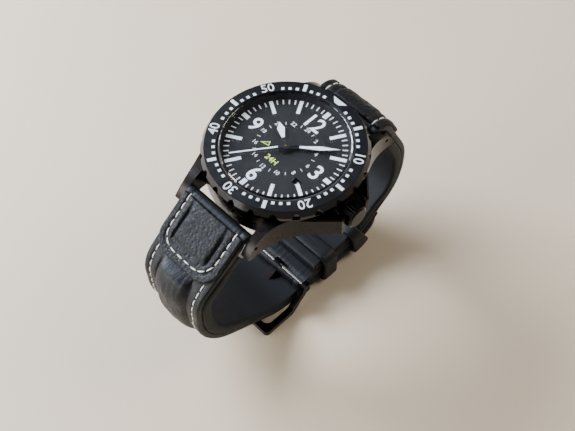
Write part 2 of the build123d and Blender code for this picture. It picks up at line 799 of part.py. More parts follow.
with BuildPart() as rotor:
    post(centre, movement_radius - 0.6, rotor_bottom, rotor_bottom + rotor_web)
    post(centre, movement_radius - 0.6, rotor_bottom + rotor_web, bridge_bottom - 0.3)
    post(centre, movement_radius - 2.4, rotor_bottom + rotor_web, bridge_bottom, mode=Mode.SUBTRACT)
    with Locations((0, movement_radius + 0.9, rotor_bottom)):
        Box(2 * movement_radius + 2, 2 * movement_radius, 4, mode=Mode.SUBTRACT)
    post(centre, 2.5, rotor_bottom, rotor_bottom + rotor_web)
    post(centre, 1.4 + running_gap, rotor_bottom - 1, bridge_bottom, mode=Mode.SUBTRACT)
save(rotor, "rotor")


# ---------------------------------------------------------------------------
# Hands, each with its luminous filling as a piece of its own
# ---------------------------------------------------------------------------
def blade(level, angle, *side_points):
    """A flat hand outline, from points on one side that are mirrored to the other."""
    other_side = [(x, -y) for x, y in reversed(side_points) if y > 0]
    with BuildSketch(Plane.XY.offset(level).rotated((0, 0, angle))) as outline:
        with BuildLine():
            Polyline(*side_points, *other_side, close=True)
        make_face()
    return outline.sketch


seconds_tip = flange_inner - 1.65
minute_tip = flange_inner - 2.05
hour_tip = 8.25
blade_rim = 0.3

hour_fill = blade(hour_level, hour_angle, (3.1, 0.38), (6.1, 1.0), (hour_tip, 0))
with BuildPart() as hour_hand:
    extrude(
        blade(hour_level, hour_angle, (0.5, 0.42), (3.0, 0.55), (6.1, 1.18), (hour_tip + blade_rim, 0)),
        amount=hand_thickness,
    )
    extrude(hour_fill, amount=hand_thickness, mode=Mode.SUBTRACT)
    post(centre, 1.75, hour_level, hour_level + hand_thickness)
    post(centre, hour_tube, hour_level - 0.1, hour_level + 1, mode=Mode.SUBTRACT)
save(hour_hand, "hour_hand")
with BuildPart() as hour_lume:
    extrude(hour_fill, amount=hand_thickness)
save(hour_lume, "hour_lume")

minute_fill = blade(minute_level, minute_angle, (3.5, 0.3), (8.9, 0.62), (minute_tip, 0))
with BuildPart() as minute_hand:
    extrude(
        blade(minute_level, minute_angle, (0.5, 0.36), (3.4, 0.42), (8.9, 0.78), (minute_tip + blade_rim, 0)),
        amount=hand_thickness,
    )
    extrude(minute_fill, amount=hand_thickness, mode=Mode.SUBTRACT)
    post(centre, 1.45, minute_level, minute_level + hand_thickness)
    post(centre, cannon_tube, minute_level - 0.1, minute_level + 1, mode=Mode.SUBTRACT)
save(minute_hand, "minute_hand")
with BuildPart() as minute_lume:
    extrude(minute_fill, amount=hand_thickness)
save(minute_lume, "minute_lume")

with BuildPart() as seconds_hand:
    extrude(blade(seconds_level, seconds_angle, (-4.2, 0.45), (-1.2, 0.3), (2.0, 0.2)), amount=hand_thickness)
    post(centre, 1.15, seconds_level, seconds_level + hand_thickness)
    post(centre, seconds_arbor, seconds_level - 0.1, seconds_level + 1, mode=Mode.SUBTRACT)
save(seconds_hand, "seconds_hand")
with BuildPart() as seconds_lume:
    extrude(blade(seconds_level, seconds_angle, (2.0, 0.2), (seconds_tip, 0.16)), amount=hand_thickness)
save(seconds_lume, "seconds_lume")

with BuildPart() as dual_time_hand:
    extrude(blade(dual_time_level, dual_time_angle, (1.0, 0.16), (4.2, 0.16)), amount=hand_thickness)
    post(centre, 2.0, dual_time_level, dual_time_level + hand_thickness)
    post(centre, dual_tube, dual_time_level - 0.1, dual_time_level + 1, mode=Mode.SUBTRACT)
save(dual_time_hand, "dual_time_hand")
with BuildPart() as dual_time_arrow:
    extrude(blade(dual_time_level, dual_time_angle, (4.2, 0.7), (6.7, 0)), amount=hand_thickness)
    extrude(
        blade(dual_time_level, dual_time_angle, (4.42, 0.47), (6.1, 0)), amount=hand_thickness,
        mode=Mode.SUBTRACT,
    )
save(dual_time_arrow, "dual_time_arrow")

# ---------------------------------------------------------------------------
# Strap. Both halves follow one way round the loop, so outside is always on the right.
# ---------------------------------------------------------------------------
long_bar = (-bar_y, bar_height)
short_bar = (bar_y, bar_height)
long_side = -(bar_y + long_bulge)
long_shoulder = (long_side, shoulder_height)
long_hip = (long_side, loop_bottom + 17.3)
long_turn = (buckle_bar_y - 8.0, loop_bottom)
long_start = tangent_end(long_bar, long_shoulder, eye_radius, -1)

short_start = (buckle_bar_y, short_bottom)
short_turn = (bar_y - 4.8, short_bottom)
short_hip = (bar_y + 11.1, short_bottom + 11.9)
short_side = (bar_y + short_bulge, short_bottom + 24.6)
short_shoulder = (bar_y + short_crest, bar_height + eye_radius)
short_end = tangent_end(short_bar, short_shoulder, eye_radius, 1)

short_path = [short_start, short_turn, short_hip, short_side, short_shoulder, short_end]
turn_radius = 18.0
short_radii = [turn_radius, 14.0, 22.0, short_crest_radius]

tail_offset = short_bottom - loop_bottom
tail_corners = offset_corners([short_start, short_turn, short_hip], tail_offset)
tail_end = along(tail_corners[1], tail_corners[2], tail_past_turn)
long_path = [long_start, long_shoulder, long_hip, long_turn, tail_corners[1], tail_end]
long_radii = [10.0, 21.0, 22.0, turn_radius + tail_offset]

taper_top = 2.0
taper_bottom = -20.0
loop_reach = 60.0


def taper():
    """Narrow a strap piece from the lugs to the buckle, as seen from 12 o'clock."""
    with BuildSketch(Plane.XZ) as front:
        with BuildLine():
            Polyline(
                (-strap_half, 20), (-strap_half, taper_top),
                (-tail_half, taper_bottom), (-tail_half, -loop_reach),
                (tail_half, -loop_reach), (tail_half, taper_bottom),
                (strap_half, taper_top), (strap_half, 20),
                close=True,
            )
        make_face()
    extrude(front.sketch, amount=loop_reach, both=True, mode=Mode.INTERSECT)


lining_near = -(leather_thickness + layer_gap)
lining_start = 3.2

# The tongue slants down from the buckle's bar through the tail, then lies in a notch in the outer face
# of the end bar.
end_bar_y = buckle_bar_y - buckle_length + end_bar_width / 2
end_bar_z = loop_bottom - keeper_gap - keeper_wall + buckle_thickness / 2
tongue_level = end_bar_z - (buckle_thickness - tongue_thickness) / 2
tongue_bend = (end_bar_y + 1.3 * end_bar_width, tongue_level)
tongue_tip = (end_bar_y - end_bar_width / 2 - tongue_overhang, tongue_level)

with BuildPart() as tongue_way:
    band(
        [(buckle_bar_y - 1.2, buckle_bar_z - 5.9), (buckle_bar_y - 12.4, buckle_bar_z - 2.6)], [],
        -6, 6, tongue_width / 2 + 2 * tongue_gap,
    )

with BuildPart() as adjusting_holes:
    for step in (1, 2):
        with Locations(Plane((0, long_turn[0] - 5.5 - hole_pitch * step, -34), z_dir=(0, -0.54, -0.84))):
            Cylinder(1.2, 16)
    for step in (0, 1):
        with Locations((0, 1.2 + hole_pitch * step, loop_bottom)):
            Cylinder(1.2, 4)

with BuildPart() as strap_6_outer:
    band(long_path, long_radii, -leather_thickness, 0, strap_half)
    cross_bar(*long_bar, eye_radius, strap_half)
    cross_bar(*long_bar, bar_radius + 0.05, strap_half + 1, mode=Mode.SUBTRACT)
    taper()
    add(tongue_way.part, mode=Mode.SUBTRACT)
    add(adjusting_holes.part, mode=Mode.SUBTRACT)
    tip_edges = strap_6_outer.edges().filter_by(lambda edge: abs(edge.center().X) > tail_half - 0.1)
    tail_corner_edges = tip_edges.filter_by(
        lambda edge: hypot(edge.center().Y - tail_end[0], edge.center().Z - tail_end[1]) < 2
        and edge.length < leather_thickness * 1.1
    )
    fillet(tail_corner_edges, radius=6)
save(strap_6_outer, "strap_6_outer")

lining_end = (long_hip[0] * 0.42 + long_turn[0] * 0.58, long_hip[1] * 0.42 + long_turn[1] * 0.58)
with BuildPart() as strap_6_lining:
    band(long_path, long_radii, lining_near - tail_lining_thickness, lining_near, strap_half)
    band(
        [long_start, long_shoulder, long_hip, lining_end], long_radii[:2],
        lining_near - lining_thickness, lining_near, strap_half,
    )
    cross_bar(*long_bar, eye_radius + lining_start, strap_half + 1, mode=Mode.SUBTRACT)
    taper()
    add(tongue_way.part, mode=Mode.SUBTRACT)
    add(adjusting_holes.part, mode=Mode.SUBTRACT)
save(strap_6_lining, "strap_6_lining")

with BuildPart() as strap_12_outer:
    band(short_path, short_radii, -leather_thickness, 0, strap_half)
    cross_bar(*short_bar, eye_radius, strap_half)
    cross_bar(*short_bar, bar_radius + 0.05, strap_half + 1, mode=Mode.SUBTRACT)
    cross_bar(buckle_bar_y, buckle_bar_z, eye_radius, strap_half)
    cross_bar(buckle_bar_y, buckle_bar_z, buckle_bar_radius + 0.05, strap_half + 1, mode=Mode.SUBTRACT)
    taper()
    with Locations((0, buckle_bar_y, buckle_bar_z)):
        Box(tongue_width + 1.0, 5.2, 8, mode=Mode.SUBTRACT)
save(strap_12_outer, "strap_12_outer")

with BuildPart() as strap_12_lining:
    band(short_path, short_radii, lining_near - lining_thickness, lining_near, strap_half)
    cross_bar(*short_bar, eye_radius + lining_start, strap_half + 1, mode=Mode.SUBTRACT)
    cross_bar(buckle_bar_y, buckle_bar_z, eye_radius + lining_start, strap_half + 1, mode=Mode.SUBTRACT)
    taper()
save(strap_12_lining, "strap_12_lining")


def patch(name, path, radii, lug_end):
    """The stitched overlay that covers a strap half next to its lug."""
    with BuildPart() as overlay:
        band(path, radii, layer_gap, layer_gap + patch_thickness, strap_half - patch_inset)
        short_edges = overlay.edges().filter_by(lambda edge: edge.length < patch_thickness * 1.05)
        corners = short_edges.filter_by(
            lambda edge: hypot(edge.center().Y - lug_end[0], edge.center().Z - lug_end[1]) > patch_length / 2
        )
        fillet(corners.filter_by(Axis.X, reverse=True), radius=patch_corner)
    save(overlay, name)


long_patch_end = along(long_start, long_shoulder, patch_length)
patch("strap_6_patch", [long_start, long_patch_end], [], long_start)

short_first_run = hypot(short_end[0] - short_shoulder[0], short_end[1] - short_shoulder[1])
short_patch_end = along(short_shoulder, short_side, patch_length - short_first_run)
patch("strap_12_patch", [short_patch_end, short_shoulder, short_end], [short_crest_radius], short_end)

with BuildPart() as spring_bars:
    for side in (-1, 1):
        cross_bar(side * bar_y, bar_height, bar_radius, strap_half)
        cross_bar(side * bar_y, bar_height, bar_pivot_radius, lug_side + 2.0)
save(spring_bars, "spring_bars")

# ---------------------------------------------------------------------------
# Keepers. The free one sits on the strap's bend and can follow it either way.
# ---------------------------------------------------------------------------
keeper_half = tail_half + keeper_gap
stack_inner = short_bottom + strap_thickness + keeper_gap
stack_outer = loop_bottom - keeper_gap


def loop_section(low, high):
    """The rectangular ring section of a keeper, between two heights of its window."""
    middle = (low + high) / 2
    with Locations((0, middle)):
        RectangleRounded(2 * (keeper_half + keeper_wall), high - low + 2 * keeper_wall, 1.4)
        Rectangle(2 * keeper_half, high - low, mode=Mode.SUBTRACT)


with BuildPart() as fixed_keeper:
    with BuildSketch(Plane.XZ.offset(-fixed_keeper_y - keeper_width)):
        loop_section(stack_outer, stack_inner)
    extrude(amount=keeper_width)
save(fixed_keeper, "fixed_keeper")

bend_angle = atan2(short_hip[1] - short_turn[1], short_hip[0] - short_turn[0])
bend_centre = (short_turn[0] - turn_radius * tan(bend_angle / 2), short_bottom + turn_radius)
keeper_span = keeper_width / turn_radius * 180 / pi
keeper_tilt = bend_angle * 180 / pi / 2 - keeper_span / 2
bend_axis = Axis((0, bend_centre[0], bend_centre[1]), (1, 0, 0))
with BuildPart() as free_keeper:
    with BuildSketch(Plane.XZ.offset(-bend_centre[0])):
        loop_section(stack_outer, stack_inner)
    revolve(axis=bend_axis, revolution_arc=keeper_span)
free_keeper.part = free_keeper.part.rotate(bend_axis, keeper_tilt)
save(free_keeper, "free_keeper")

# ---------------------------------------------------------------------------
# Buckle
# ---------------------------------------------------------------------------
frame_inner = tail_half + 0.4
frame_outer = frame_inner + buckle_side

with BuildPart() as buckle_spring_bar:
    cross_bar(buckle_bar_y, buckle_bar_z, buckle_bar_radius, tail_half)
    cross_bar(buckle_bar_y, buckle_bar_z, bar_pivot_radius, frame_outer - 0.2)
save(buckle_spring_bar, "buckle_spring_bar")

knee = (buckle_bar_y - (buckle_bar_z - end_bar_z) * 0.95, end_bar_z)
window_end = end_bar_y + end_bar_width / 2
with BuildPart() as buckle_frame:
    band(
        [(buckle_bar_y, buckle_bar_z), knee, (buckle_bar_y - buckle_length, end_bar_z)], [3.0],
        -buckle_thickness / 2, buckle_thickness / 2, frame_outer,
    )
    cross_bar(buckle_bar_y, buckle_bar_z, buckle_eye_radius, frame_outer)
    with BuildSketch(Plane.XY.offset(-loop_reach)) as plan:
        with Locations((0, buckle_bar_y + 2 - (buckle_length + 2) / 2)):
            RectangleRounded(2 * frame_outer, buckle_length + 2, 1.2)
    extrude(plan.sketch, amount=loop_reach, mode=Mode.INTERSECT)
    with BuildSketch(Plane.XY.offset(-loop_reach)) as window:
        with Locations((0, (window_end + buckle_bar_y + 6) / 2)):
            RectangleRounded(2 * frame_inner, buckle_bar_y + 6 - window_end, 2.0)
    extrude(window.sketch, amount=loop_reach, mode=Mode.SUBTRACT)
    cross_bar(buckle_bar_y, buckle_bar_z, bar_pivot_radius + pivot_gap, frame_outer + 1, mode=Mode.SUBTRACT)
    with Locations((0, end_bar_y, tongue_level + tongue_thickness / 2 + tongue_gap)):
        Box(
            tongue_width + 2 * tongue_gap, 2 * end_bar_width, 2 * buckle_thickness,
            align=(Align.CENTER, Align.CENTER, Align.MAX), mode=Mode.SUBTRACT,
        )
save(buckle_frame, "buckle_frame")

with BuildPart() as buckle_tongue:
    band(
        [(buckle_bar_y, buckle_bar_z), tongue_bend, tongue_tip], [-tongue_bend_radius],
        -tongue_thickness / 2, tongue_thickness / 2, tongue_width / 2,
    )
    cross_bar(buckle_bar_y, buckle_bar_z, buckle_bar_radius + 0.75, tongue_width / 2)
    cross_bar(buckle_bar_y, buckle_bar_z, buckle_bar_radius + pivot_gap, tongue_width, mode=Mode.SUBTRACT)
save(buckle_tongue, "buckle_tongue")
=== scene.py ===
# %% [markdown]
# # Diver-style watch with a second-time-zone hand
#
# A black-coated steel watch stands on its buckled leather strap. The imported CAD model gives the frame:
# the case, bezel, hands and movement are shown as they are, and the plain leather solids are replaced by
# padded, stitched and grained leather. Lengths are in millimetres until a mesh is made, then in metres.

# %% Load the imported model
import math

import bpy
import numpy as np
from mathutils import Matrix, Vector, noise


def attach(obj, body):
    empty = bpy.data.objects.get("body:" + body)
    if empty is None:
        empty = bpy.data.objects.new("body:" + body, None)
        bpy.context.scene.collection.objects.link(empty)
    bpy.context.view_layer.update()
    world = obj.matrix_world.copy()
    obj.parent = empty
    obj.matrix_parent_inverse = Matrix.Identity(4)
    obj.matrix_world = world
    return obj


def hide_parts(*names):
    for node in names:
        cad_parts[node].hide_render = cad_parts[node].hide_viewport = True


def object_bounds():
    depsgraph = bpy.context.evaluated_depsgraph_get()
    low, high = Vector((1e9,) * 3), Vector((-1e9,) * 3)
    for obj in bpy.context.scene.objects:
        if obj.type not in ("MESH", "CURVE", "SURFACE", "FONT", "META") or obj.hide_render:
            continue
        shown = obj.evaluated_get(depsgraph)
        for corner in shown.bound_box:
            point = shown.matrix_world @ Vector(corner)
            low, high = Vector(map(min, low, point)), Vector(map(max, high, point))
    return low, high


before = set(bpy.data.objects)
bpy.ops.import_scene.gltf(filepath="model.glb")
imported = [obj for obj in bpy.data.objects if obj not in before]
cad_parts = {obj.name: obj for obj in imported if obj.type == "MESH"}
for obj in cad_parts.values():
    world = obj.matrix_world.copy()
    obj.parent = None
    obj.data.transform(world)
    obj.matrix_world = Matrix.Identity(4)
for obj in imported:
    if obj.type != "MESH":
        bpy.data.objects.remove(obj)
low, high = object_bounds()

MM = 0.001
cad_low, cad_high = low.copy(), high.copy()
print("CAD size in mm:", [round((b - a) / MM, 1) for a, b in zip(low, high)])

# %% [markdown]
# ## Meshes and pieces
#
# Every piece made here is a mesh in the row frame that rides on one CAD body. A soft piece is one closed
# grid: rows run along the strap and each row is a closed section, so folds and stitches follow the leather.


# %% Make a mesh, and let it ride on a body
def piece(name, corners, faces, material, body, smooth=True, stands_for=()):
    """A mesh object from corners in millimetres, riding on a CAD body."""
    mesh = bpy.data.meshes.new(name)
    mesh.from_pydata([tuple(c) for c in np.asarray(corners) * MM], [], faces)
    mesh.validate()
    if smooth:
        mesh.shade_smooth()
    else:
        mesh.shade_flat()
    made = bpy.data.objects.new(name, mesh)
    bpy.context.scene.collection.objects.link(made)
    mesh.materials.append(material)
    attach(made, body)
    if stands_for:
        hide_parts(*stands_for)
    return made


def grid_faces(rows, columns, first=0):
    """Quads over a grid whose rows are closed rings, with both ends capped by strips of quads."""
    faces = []
    for i in range(rows - 1):
        for j in range(columns):
            a = first + i * columns + j
            b = first + i * columns + (j + 1) % columns
            faces.append((a, b, b + columns, a + columns))
    half = columns // 2
    for row, flip in ((0, True), (rows - 1, False)):
        for j in range(half - 1):
            ring = first + row * columns
            cap = (ring + j, ring + j + 1, ring + columns - 2 - j, ring + columns - 1 - j)
            faces.append(tuple(reversed(cap)) if flip else cap)
    return faces


# %% [markdown]
# ## The way round the strap
#
# A buckled strap hangs in a loop under the case: the long half comes down from 6 o'clock, passes under the
# wrist and carries on past the buckle, and the short half comes down from 12 o'clock to the buckle's bar.
# Each half is drawn as straight runs joined by arcs, seen from 3 o'clock, and starts or ends by folding
# round a bar.

# %% Sizes shared by the strap's pieces
bar_y, bar_height = 23.3, 3.7
fold_radius, fold_turn = 1.9, 2.6
bend_radius = 18.0
tail_past_turn = 12.5
loop_bottom, short_bottom = -46.6, -42.92
buckle_bar = (-4.5, -41.02)
strap_half, tail_half = 10.8, 9.9
leather_thickness, lining_thickness, tail_lining_thickness = 1.7, 3.05, 1.6
layer_gap = 0.03
patch_length, patch_corner, patch_thickness, patch_half = 15.8, 5.5, 1.1, 10.5
crest_radius = 5.5


def grazing(bar, corner, side):
    """Where a straight run to a corner leaves the fold round a bar."""
    reach = math.hypot(corner[0] - bar[0], corner[1] - bar[1])
    heading = math.atan2(corner[1] - bar[1], corner[0] - bar[0]) - side * math.asin(fold_radius / reach)
    return bar[0] - side * fold_radius * math.sin(heading), bar[1] + side * fold_radius * math.cos(heading)


class Route:
    """Straight runs and arcs in the YZ plane, with outside on the right of the way along."""

    def __init__(self, corners, radii, wrap_start=0, wrap_end=0):
        self.rows = []
        runs = [np.subtract(b, a) / np.hypot(*np.subtract(b, a)) for a, b in zip(corners, corners[1:])]
        headings = [math.atan2(run[1], run[0]) for run in runs]
        here = np.array(corners[0], float)
        if wrap_start:
            fold_start = self.behind(here, headings[0], wrap_start)
            self.arc(fold_start, headings[0] - wrap_start, wrap_start, fold_radius)
        for corner, radius, before, after in zip(corners[1:-1], radii, headings, headings[1:]):
            turn = (after - before + math.pi) % (2 * math.pi) - math.pi
            cut = radius * math.tan(abs(turn) / 2)
            start = np.subtract(corner, (cut * math.cos(before), cut * math.sin(before)))
            self.line(here, start, before)
            here = self.arc(start, before, turn, radius)
        self.line(here, np.array(corners[-1], float), headings[-1])
        if wrap_end:
            self.arc(np.array(corners[-1], float), headings[-1], wrap_end, fold_radius)
        rows = np.array(self.rows)
        steps = np.hypot(np.diff(rows[:, 0]), np.diff(rows[:, 1]))
        keep = np.concatenate([[True], steps > 1e-6])
        self.y, self.z, self.heading = rows[keep].T
        self.s = np.concatenate([[0], np.cumsum(steps[steps > 1e-6])])
        self.start = wrap_start * fold_radius
        self.length = self.s[-1]

    def behind(self, end, heading, sweep):
        """Where a fold that ends at a place began."""
        centre = end + fold_radius * np.array([-math.sin(heading), math.cos(heading)])
        back = heading - sweep
        return centre - fold_radius * np.array([-math.sin(back), math.cos(back)])

    def line(self, a, b, heading):
        """Add a straight run."""
        count = max(2, int(np.hypot(*(b - a)) / 0.1))
        self.rows += [(*(a + (b - a) * k / count), heading) for k in range(count + 1)]

    def arc(self, start, heading, turn, radius):
        """Add an arc that turns left by a positive angle, and return its end."""
        side = math.copysign(1, turn)
        centre = start + side * radius * np.array([-math.sin(heading), math.cos(heading)])
        count = max(4, int(abs(turn) * radius / 0.1))
        for k in range(count + 1):
            angle = heading + turn * k / count
            place = centre - side * radius * np.array([-math.sin(angle), math.cos(angle)])
            self.rows.append((*place, angle))
        return np.array(self.rows[-1][:2])

    def place(self, s, x, out):
        """Points at distances along, across and outside the route."""
        y, z, heading = (np.interp(s, self.s, row) for row in (self.y, self.z, self.heading))
        return np.stack([x + 0 * s, y + out * np.sin(heading), z - out * np.cos(heading)], -1)

    def half_width(self, s):
        """The strap narrows between the lugs and the buckle."""
        return np.interp(np.interp(s, self.s, self.z), [-20.0, 2.0], [tail_half, strap_half])


long_side = -(bar_y + 18.1)
long_shoulder, long_hip = (long_side, -7.6), (long_side, loop_bottom + 17.3)
long_turn = (-12.5, loop_bottom)
short_turn = (bar_y - 4.8, short_bottom)
short_hip = (bar_y + 11.1, short_bottom + 11.9)
short_side = (bar_y + 15.3, short_bottom + 24.6)
short_shoulder = (bar_y + 3.6, bar_height + fold_radius)
hip_angle = math.atan2(short_hip[1] - short_turn[1], short_hip[0] - short_turn[0])
tail_offset = short_bottom - loop_bottom
tail_turn = (short_turn[0] + tail_offset * math.tan(hip_angle / 2), loop_bottom)
tail_end = (
    tail_turn[0] + tail_past_turn * math.cos(hip_angle), tail_turn[1] + tail_past_turn * math.sin(hip_angle),
)

long_route = Route(
    [
        grazing((-bar_y, bar_height), long_shoulder, -1), long_shoulder, long_hip, long_turn, tail_turn,
        tail_end,
    ],
    [10.0, 21.0, 22.0, bend_radius + tail_offset], wrap_start=fold_turn,
)
short_route = Route(
    [
        (buckle_bar[0], short_bottom), short_turn, short_hip, short_side, short_shoulder,
        grazing((bar_y, bar_height), short_shoulder, 1),
    ],
    [bend_radius, 14.0, 22.0, crest_radius], wrap_start=fold_turn, wrap_end=fold_turn,
)
short_lug_end = short_route.length - fold_turn * fold_radius
print("strap halves in mm:", round(long_route.length, 1), round(short_route.length, 1))

# %% [markdown]
# ## Materials
#
# Colours are given as sRGB and turned into linear light by one function. Each material has its own
# pattern, with sizes worked out from millimetres, so that nothing is a single flat value.


# %% Small helpers for shader nodes
def linear(code):
    """Linear colour, with alpha, from an sRGB hex code."""
    levels = [int(code[k:k + 2], 16) / 255 for k in (1, 3, 5)]
    return [v / 12.92 if v <= 0.04045 else ((v + 0.055) / 1.055) ** 2.4 for v in levels] + [1.0]


def add(tree, kind, inputs=None, **settings):
    """Add a node with its settings, and set or link its inputs by name or number."""
    node = tree.nodes.new(kind)
    for key, value in settings.items():
        setattr(node, key, value)
    for socket, value in (inputs or {}).items():
        if isinstance(value, bpy.types.NodeSocket):
            tree.links.new(value, node.inputs[socket])
        else:
            node.inputs[socket].default_value = value
    return node


def material(name, colour, roughness, **uniform):
    """A Principled material, its node tree and its shader."""
    made = bpy.data.materials.new(name)
    made.use_nodes = True
    tree = made.node_tree
    shader = tree.nodes["Principled BSDF"]
    shader.inputs["Base Color"].default_value = linear(colour)
    shader.inputs["Roughness"].default_value = roughness
    for key, value in uniform.items():
        shader.inputs[key.replace("_", " ").title().replace("Ior", "IOR")].default_value = value
    return made, tree, shader


def place_in(tree, stretch=(1, 1, 1), source="Object"):
    """Coordinates in metres, stretched per axis so that a pattern can run along one."""
    coords = add(tree, "ShaderNodeTexCoord").outputs[source]
    return add(tree, "ShaderNodeVectorMath", {0: coords, 1: stretch}, operation="MULTIPLY").outputs[0]


def noise_of(tree, size_mm, coords, detail=2.0, rough=0.5):
    """Noise whose features are about that many millimetres across."""
    values = {"Vector": coords, "Scale": 1 / (size_mm * MM), "Detail": detail, "Roughness": rough}
    return add(tree, "ShaderNodeTexNoise", values).outputs["Fac"]


def cells_of(tree, size_mm, coords, smoothness=0.35):
    """Rounded cells about that many millimetres across: 0 in the middle of a cell."""
    values = {"Vector": coords, "Scale": 1 / (size_mm * MM), "Smoothness": smoothness}
    return add(tree, "ShaderNodeTexVoronoi", values, feature="SMOOTH_F1").outputs["Distance"]


def span(tree, value, low_in, high_in, low_out, high_out):
    """A value mapped from one range to another, and held at its ends."""
    values = {0: value, 1: low_in, 2: high_in, 3: low_out, 4: high_out}
    return add(tree, "ShaderNodeMapRange", values).outputs[0]


def blend_colours(tree, share, first, second):
    """A mix between two sRGB colours."""
    node = add(tree, "ShaderNodeMix", {"Factor": share}, data_type="RGBA")
    for socket in node.inputs:
        if socket.type == "RGBA":
            socket.default_value = linear(first if socket.name == "A" else second)
    return [out for out in node.outputs if out.type == "RGBA"][0]


def relief(tree, shader, height, depth_mm, below=None):
    """Bump the surface by a height pattern of that many millimetres."""
    values = {"Height": height, "Distance": depth_mm * MM, "Strength": 1.0}
    if below is not None:
        values["Normal"] = below
    bump = add(tree, "ShaderNodeBump", values).outputs["Normal"]
    tree.links.new(bump, shader.inputs["Normal"])
    return bump


def drive(tree, shader, socket, value):
    """Link a pattern to one of the shader's inputs."""
    tree.links.new(value, shader.inputs[socket])


# %% Metals: black-coated steel, bare steel, plated and blued parts
# A thin carbon coating keeps the metal's reflections but takes most of their brightness: broad dark
# surfaces, with near-white streaks where a window is reflected.
coated_blasted, tree, shader = material("steel_black_coated_satin", "#262525", 0.3, metallic=1.0)
where = place_in(tree)
grit = noise_of(tree, 0.09, where, detail=3)
relief(tree, shader, grit, 0.0012)
drive(tree, shader, "Roughness", span(tree, noise_of(tree, 3.0, where), 0.3, 0.7, 0.24, 0.34))
drive(tree, shader, "Base Color", blend_colours(tree, noise_of(tree, 5.0, where), "#222121", "#2b2a2a"))

coated_turned, tree, shader = material("steel_black_coated_turned", "#3c3c3e", 0.2, metallic=1.0)
rings = add(
    tree, "ShaderNodeTexWave",
    {
        "Vector": place_in(tree), "Scale": 0.314 / (0.11 * MM), "Distortion": 1.5, "Detail": 2.0,
        "Detail Scale": 3.0,
    },
    wave_type="RINGS", rings_direction="Z",
).outputs["Fac"]
relief(tree, shader, rings, 0.0006)
drive(tree, shader, "Roughness", span(tree, noise_of(tree, 2.0, place_in(tree)), 0.3, 0.7, 0.16, 0.25))
drive(tree, shader, "Base Color", blend_colours(tree, rings, "#363638", "#424244"))

# Bare steel inside the watch and on its spring bars: turned, with fine lines along the lathe's cut.
steel_turned, tree, shader = material("steel_turned", "#c9c9c6", 0.3, metallic=1.0)
lines = noise_of(tree, 0.12, place_in(tree, (1, 6, 6)), detail=2)
relief(tree, shader, lines, 0.0008)
drive(tree, shader, "Base Color", blend_colours(tree, lines, "#b9b9b6", "#d6d6d3"))
drive(tree, shader, "Roughness", span(tree, lines, 0.3, 0.7, 0.24, 0.36))

# Rhodium-plated plates with broad stripes, as a movement's bridges have: each stripe is a shallow bumped
# scallop, with painted shade darkening one side of it in the base colour, so that a plate looks ribbed
# though it is flat.
rhodium, tree, shader = material("rhodium_striped", "#cfd0cf", 0.28, metallic=1.0)
stripes_and_shade = add(
    tree, "ShaderNodeTexWave", {"Vector": place_in(tree), "Scale": 0.314 / (1.3 * MM), "Distortion": 0.0},
    wave_type="BANDS", bands_direction="DIAGONAL", wave_profile="SAW",
).outputs["Fac"]
relief(tree, shader, stripes_and_shade, 0.01)
# Painted shade: the base colour ramps from dark to light across each stripe, following the rib's slope.
drive(tree, shader, "Base Color", blend_colours(tree, stripes_and_shade, "#bcbdbc", "#dcdddc"))
drive(tree, shader, "Roughness", span(tree, noise_of(tree, 0.3, place_in(tree)), 0.3, 0.7, 0.22, 0.32))

# Brass wheels, gilt and circular-grained.
brass, tree, shader = material("brass_circular_grained", "#c9a35a", 0.3, metallic=1.0)
grain = noise_of(tree, 0.15, place_in(tree), detail=3)
relief(tree, shader, grain, 0.001)
drive(tree, shader, "Base Color", blend_colours(tree, grain, "#b88f48", "#d6b36c"))
drive(tree, shader, "Roughness", span(tree, grain, 0.3, 0.7, 0.22, 0.36))

# Heat-blued spring steel: the oxide film is thin, so the blue drifts towards violet.
blued, tree, shader = material("spring_steel_blued", "#2c4f8f", 0.22, metallic=1.0)
drift = noise_of(tree, 1.5, place_in(tree))
drive(tree, shader, "Base Color", blend_colours(tree, drift, "#24407c", "#3d5fa6"))
drive(tree, shader, "Roughness", span(tree, drift, 0.3, 0.7, 0.18, 0.28))
print("metals:", [m.name for m in (coated_blasted, coated_turned, steel_turned, rhodium, brass, blued)])

# %% Dial, prints, rubber, plastic and crystal
# Dial lacquer: a dead matt black with a powdery tooth, so that the white figures carry the contrast.
dial_black, tree, shader = material("dial_lacquer_matt_black", "#08090b", 0.75, ior=1.35)
tooth = noise_of(tree, 0.05, place_in(tree), detail=3)
relief(tree, shader, tooth, 0.002)
drive(tree, shader, "Base Color", blend_colours(tree, tooth, "#050607", "#090a0c"))
drive(tree, shader, "Roughness", span(tree, tooth, 0.3, 0.7, 0.55, 0.72))

# Bezel insert: anodised aluminium, matt black with a cool sheen from its etched surface.
insert_black, tree, shader = material(
    "aluminium_anodised_black", "#08090a", 0.42, ior=1.42, specular_tint=(0.75, 0.85, 1, 1)
)
etch = noise_of(tree, 0.06, place_in(tree), detail=3)
relief(tree, shader, etch, 0.002)
drive(tree, shader, "Base Color", blend_colours(tree, etch, "#060708", "#0b0c0e"))
drive(tree, shader, "Roughness", span(tree, noise_of(tree, 2.0, place_in(tree)), 0.3, 0.7, 0.38, 0.48))

# Luminous paint: a thick white print, chalky, with the grain of its pigment.
lume, tree, shader = material("luminous_paint_white", "#dfe9f0", 0.6, ior=1.5)
pigment = noise_of(tree, 0.07, place_in(tree), detail=2)
relief(tree, shader, pigment, 0.003)
drive(tree, shader, "Base Color", blend_colours(tree, pigment, "#d3dfe8", "#eaf2f6"))
drive(tree, shader, "Roughness", span(tree, pigment, 0.3, 0.7, 0.5, 0.68))

green_lume, tree, shader = material("luminous_paint_green", "#c6dc6a", 0.6, ior=1.5)
pigment = noise_of(tree, 0.07, place_in(tree), detail=2)
relief(tree, shader, pigment, 0.002)
drive(tree, shader, "Base Color", blend_colours(tree, pigment, "#b8d05a", "#d2e67c"))
drive(tree, shader, "Roughness", span(tree, pigment, 0.3, 0.7, 0.5, 0.68))

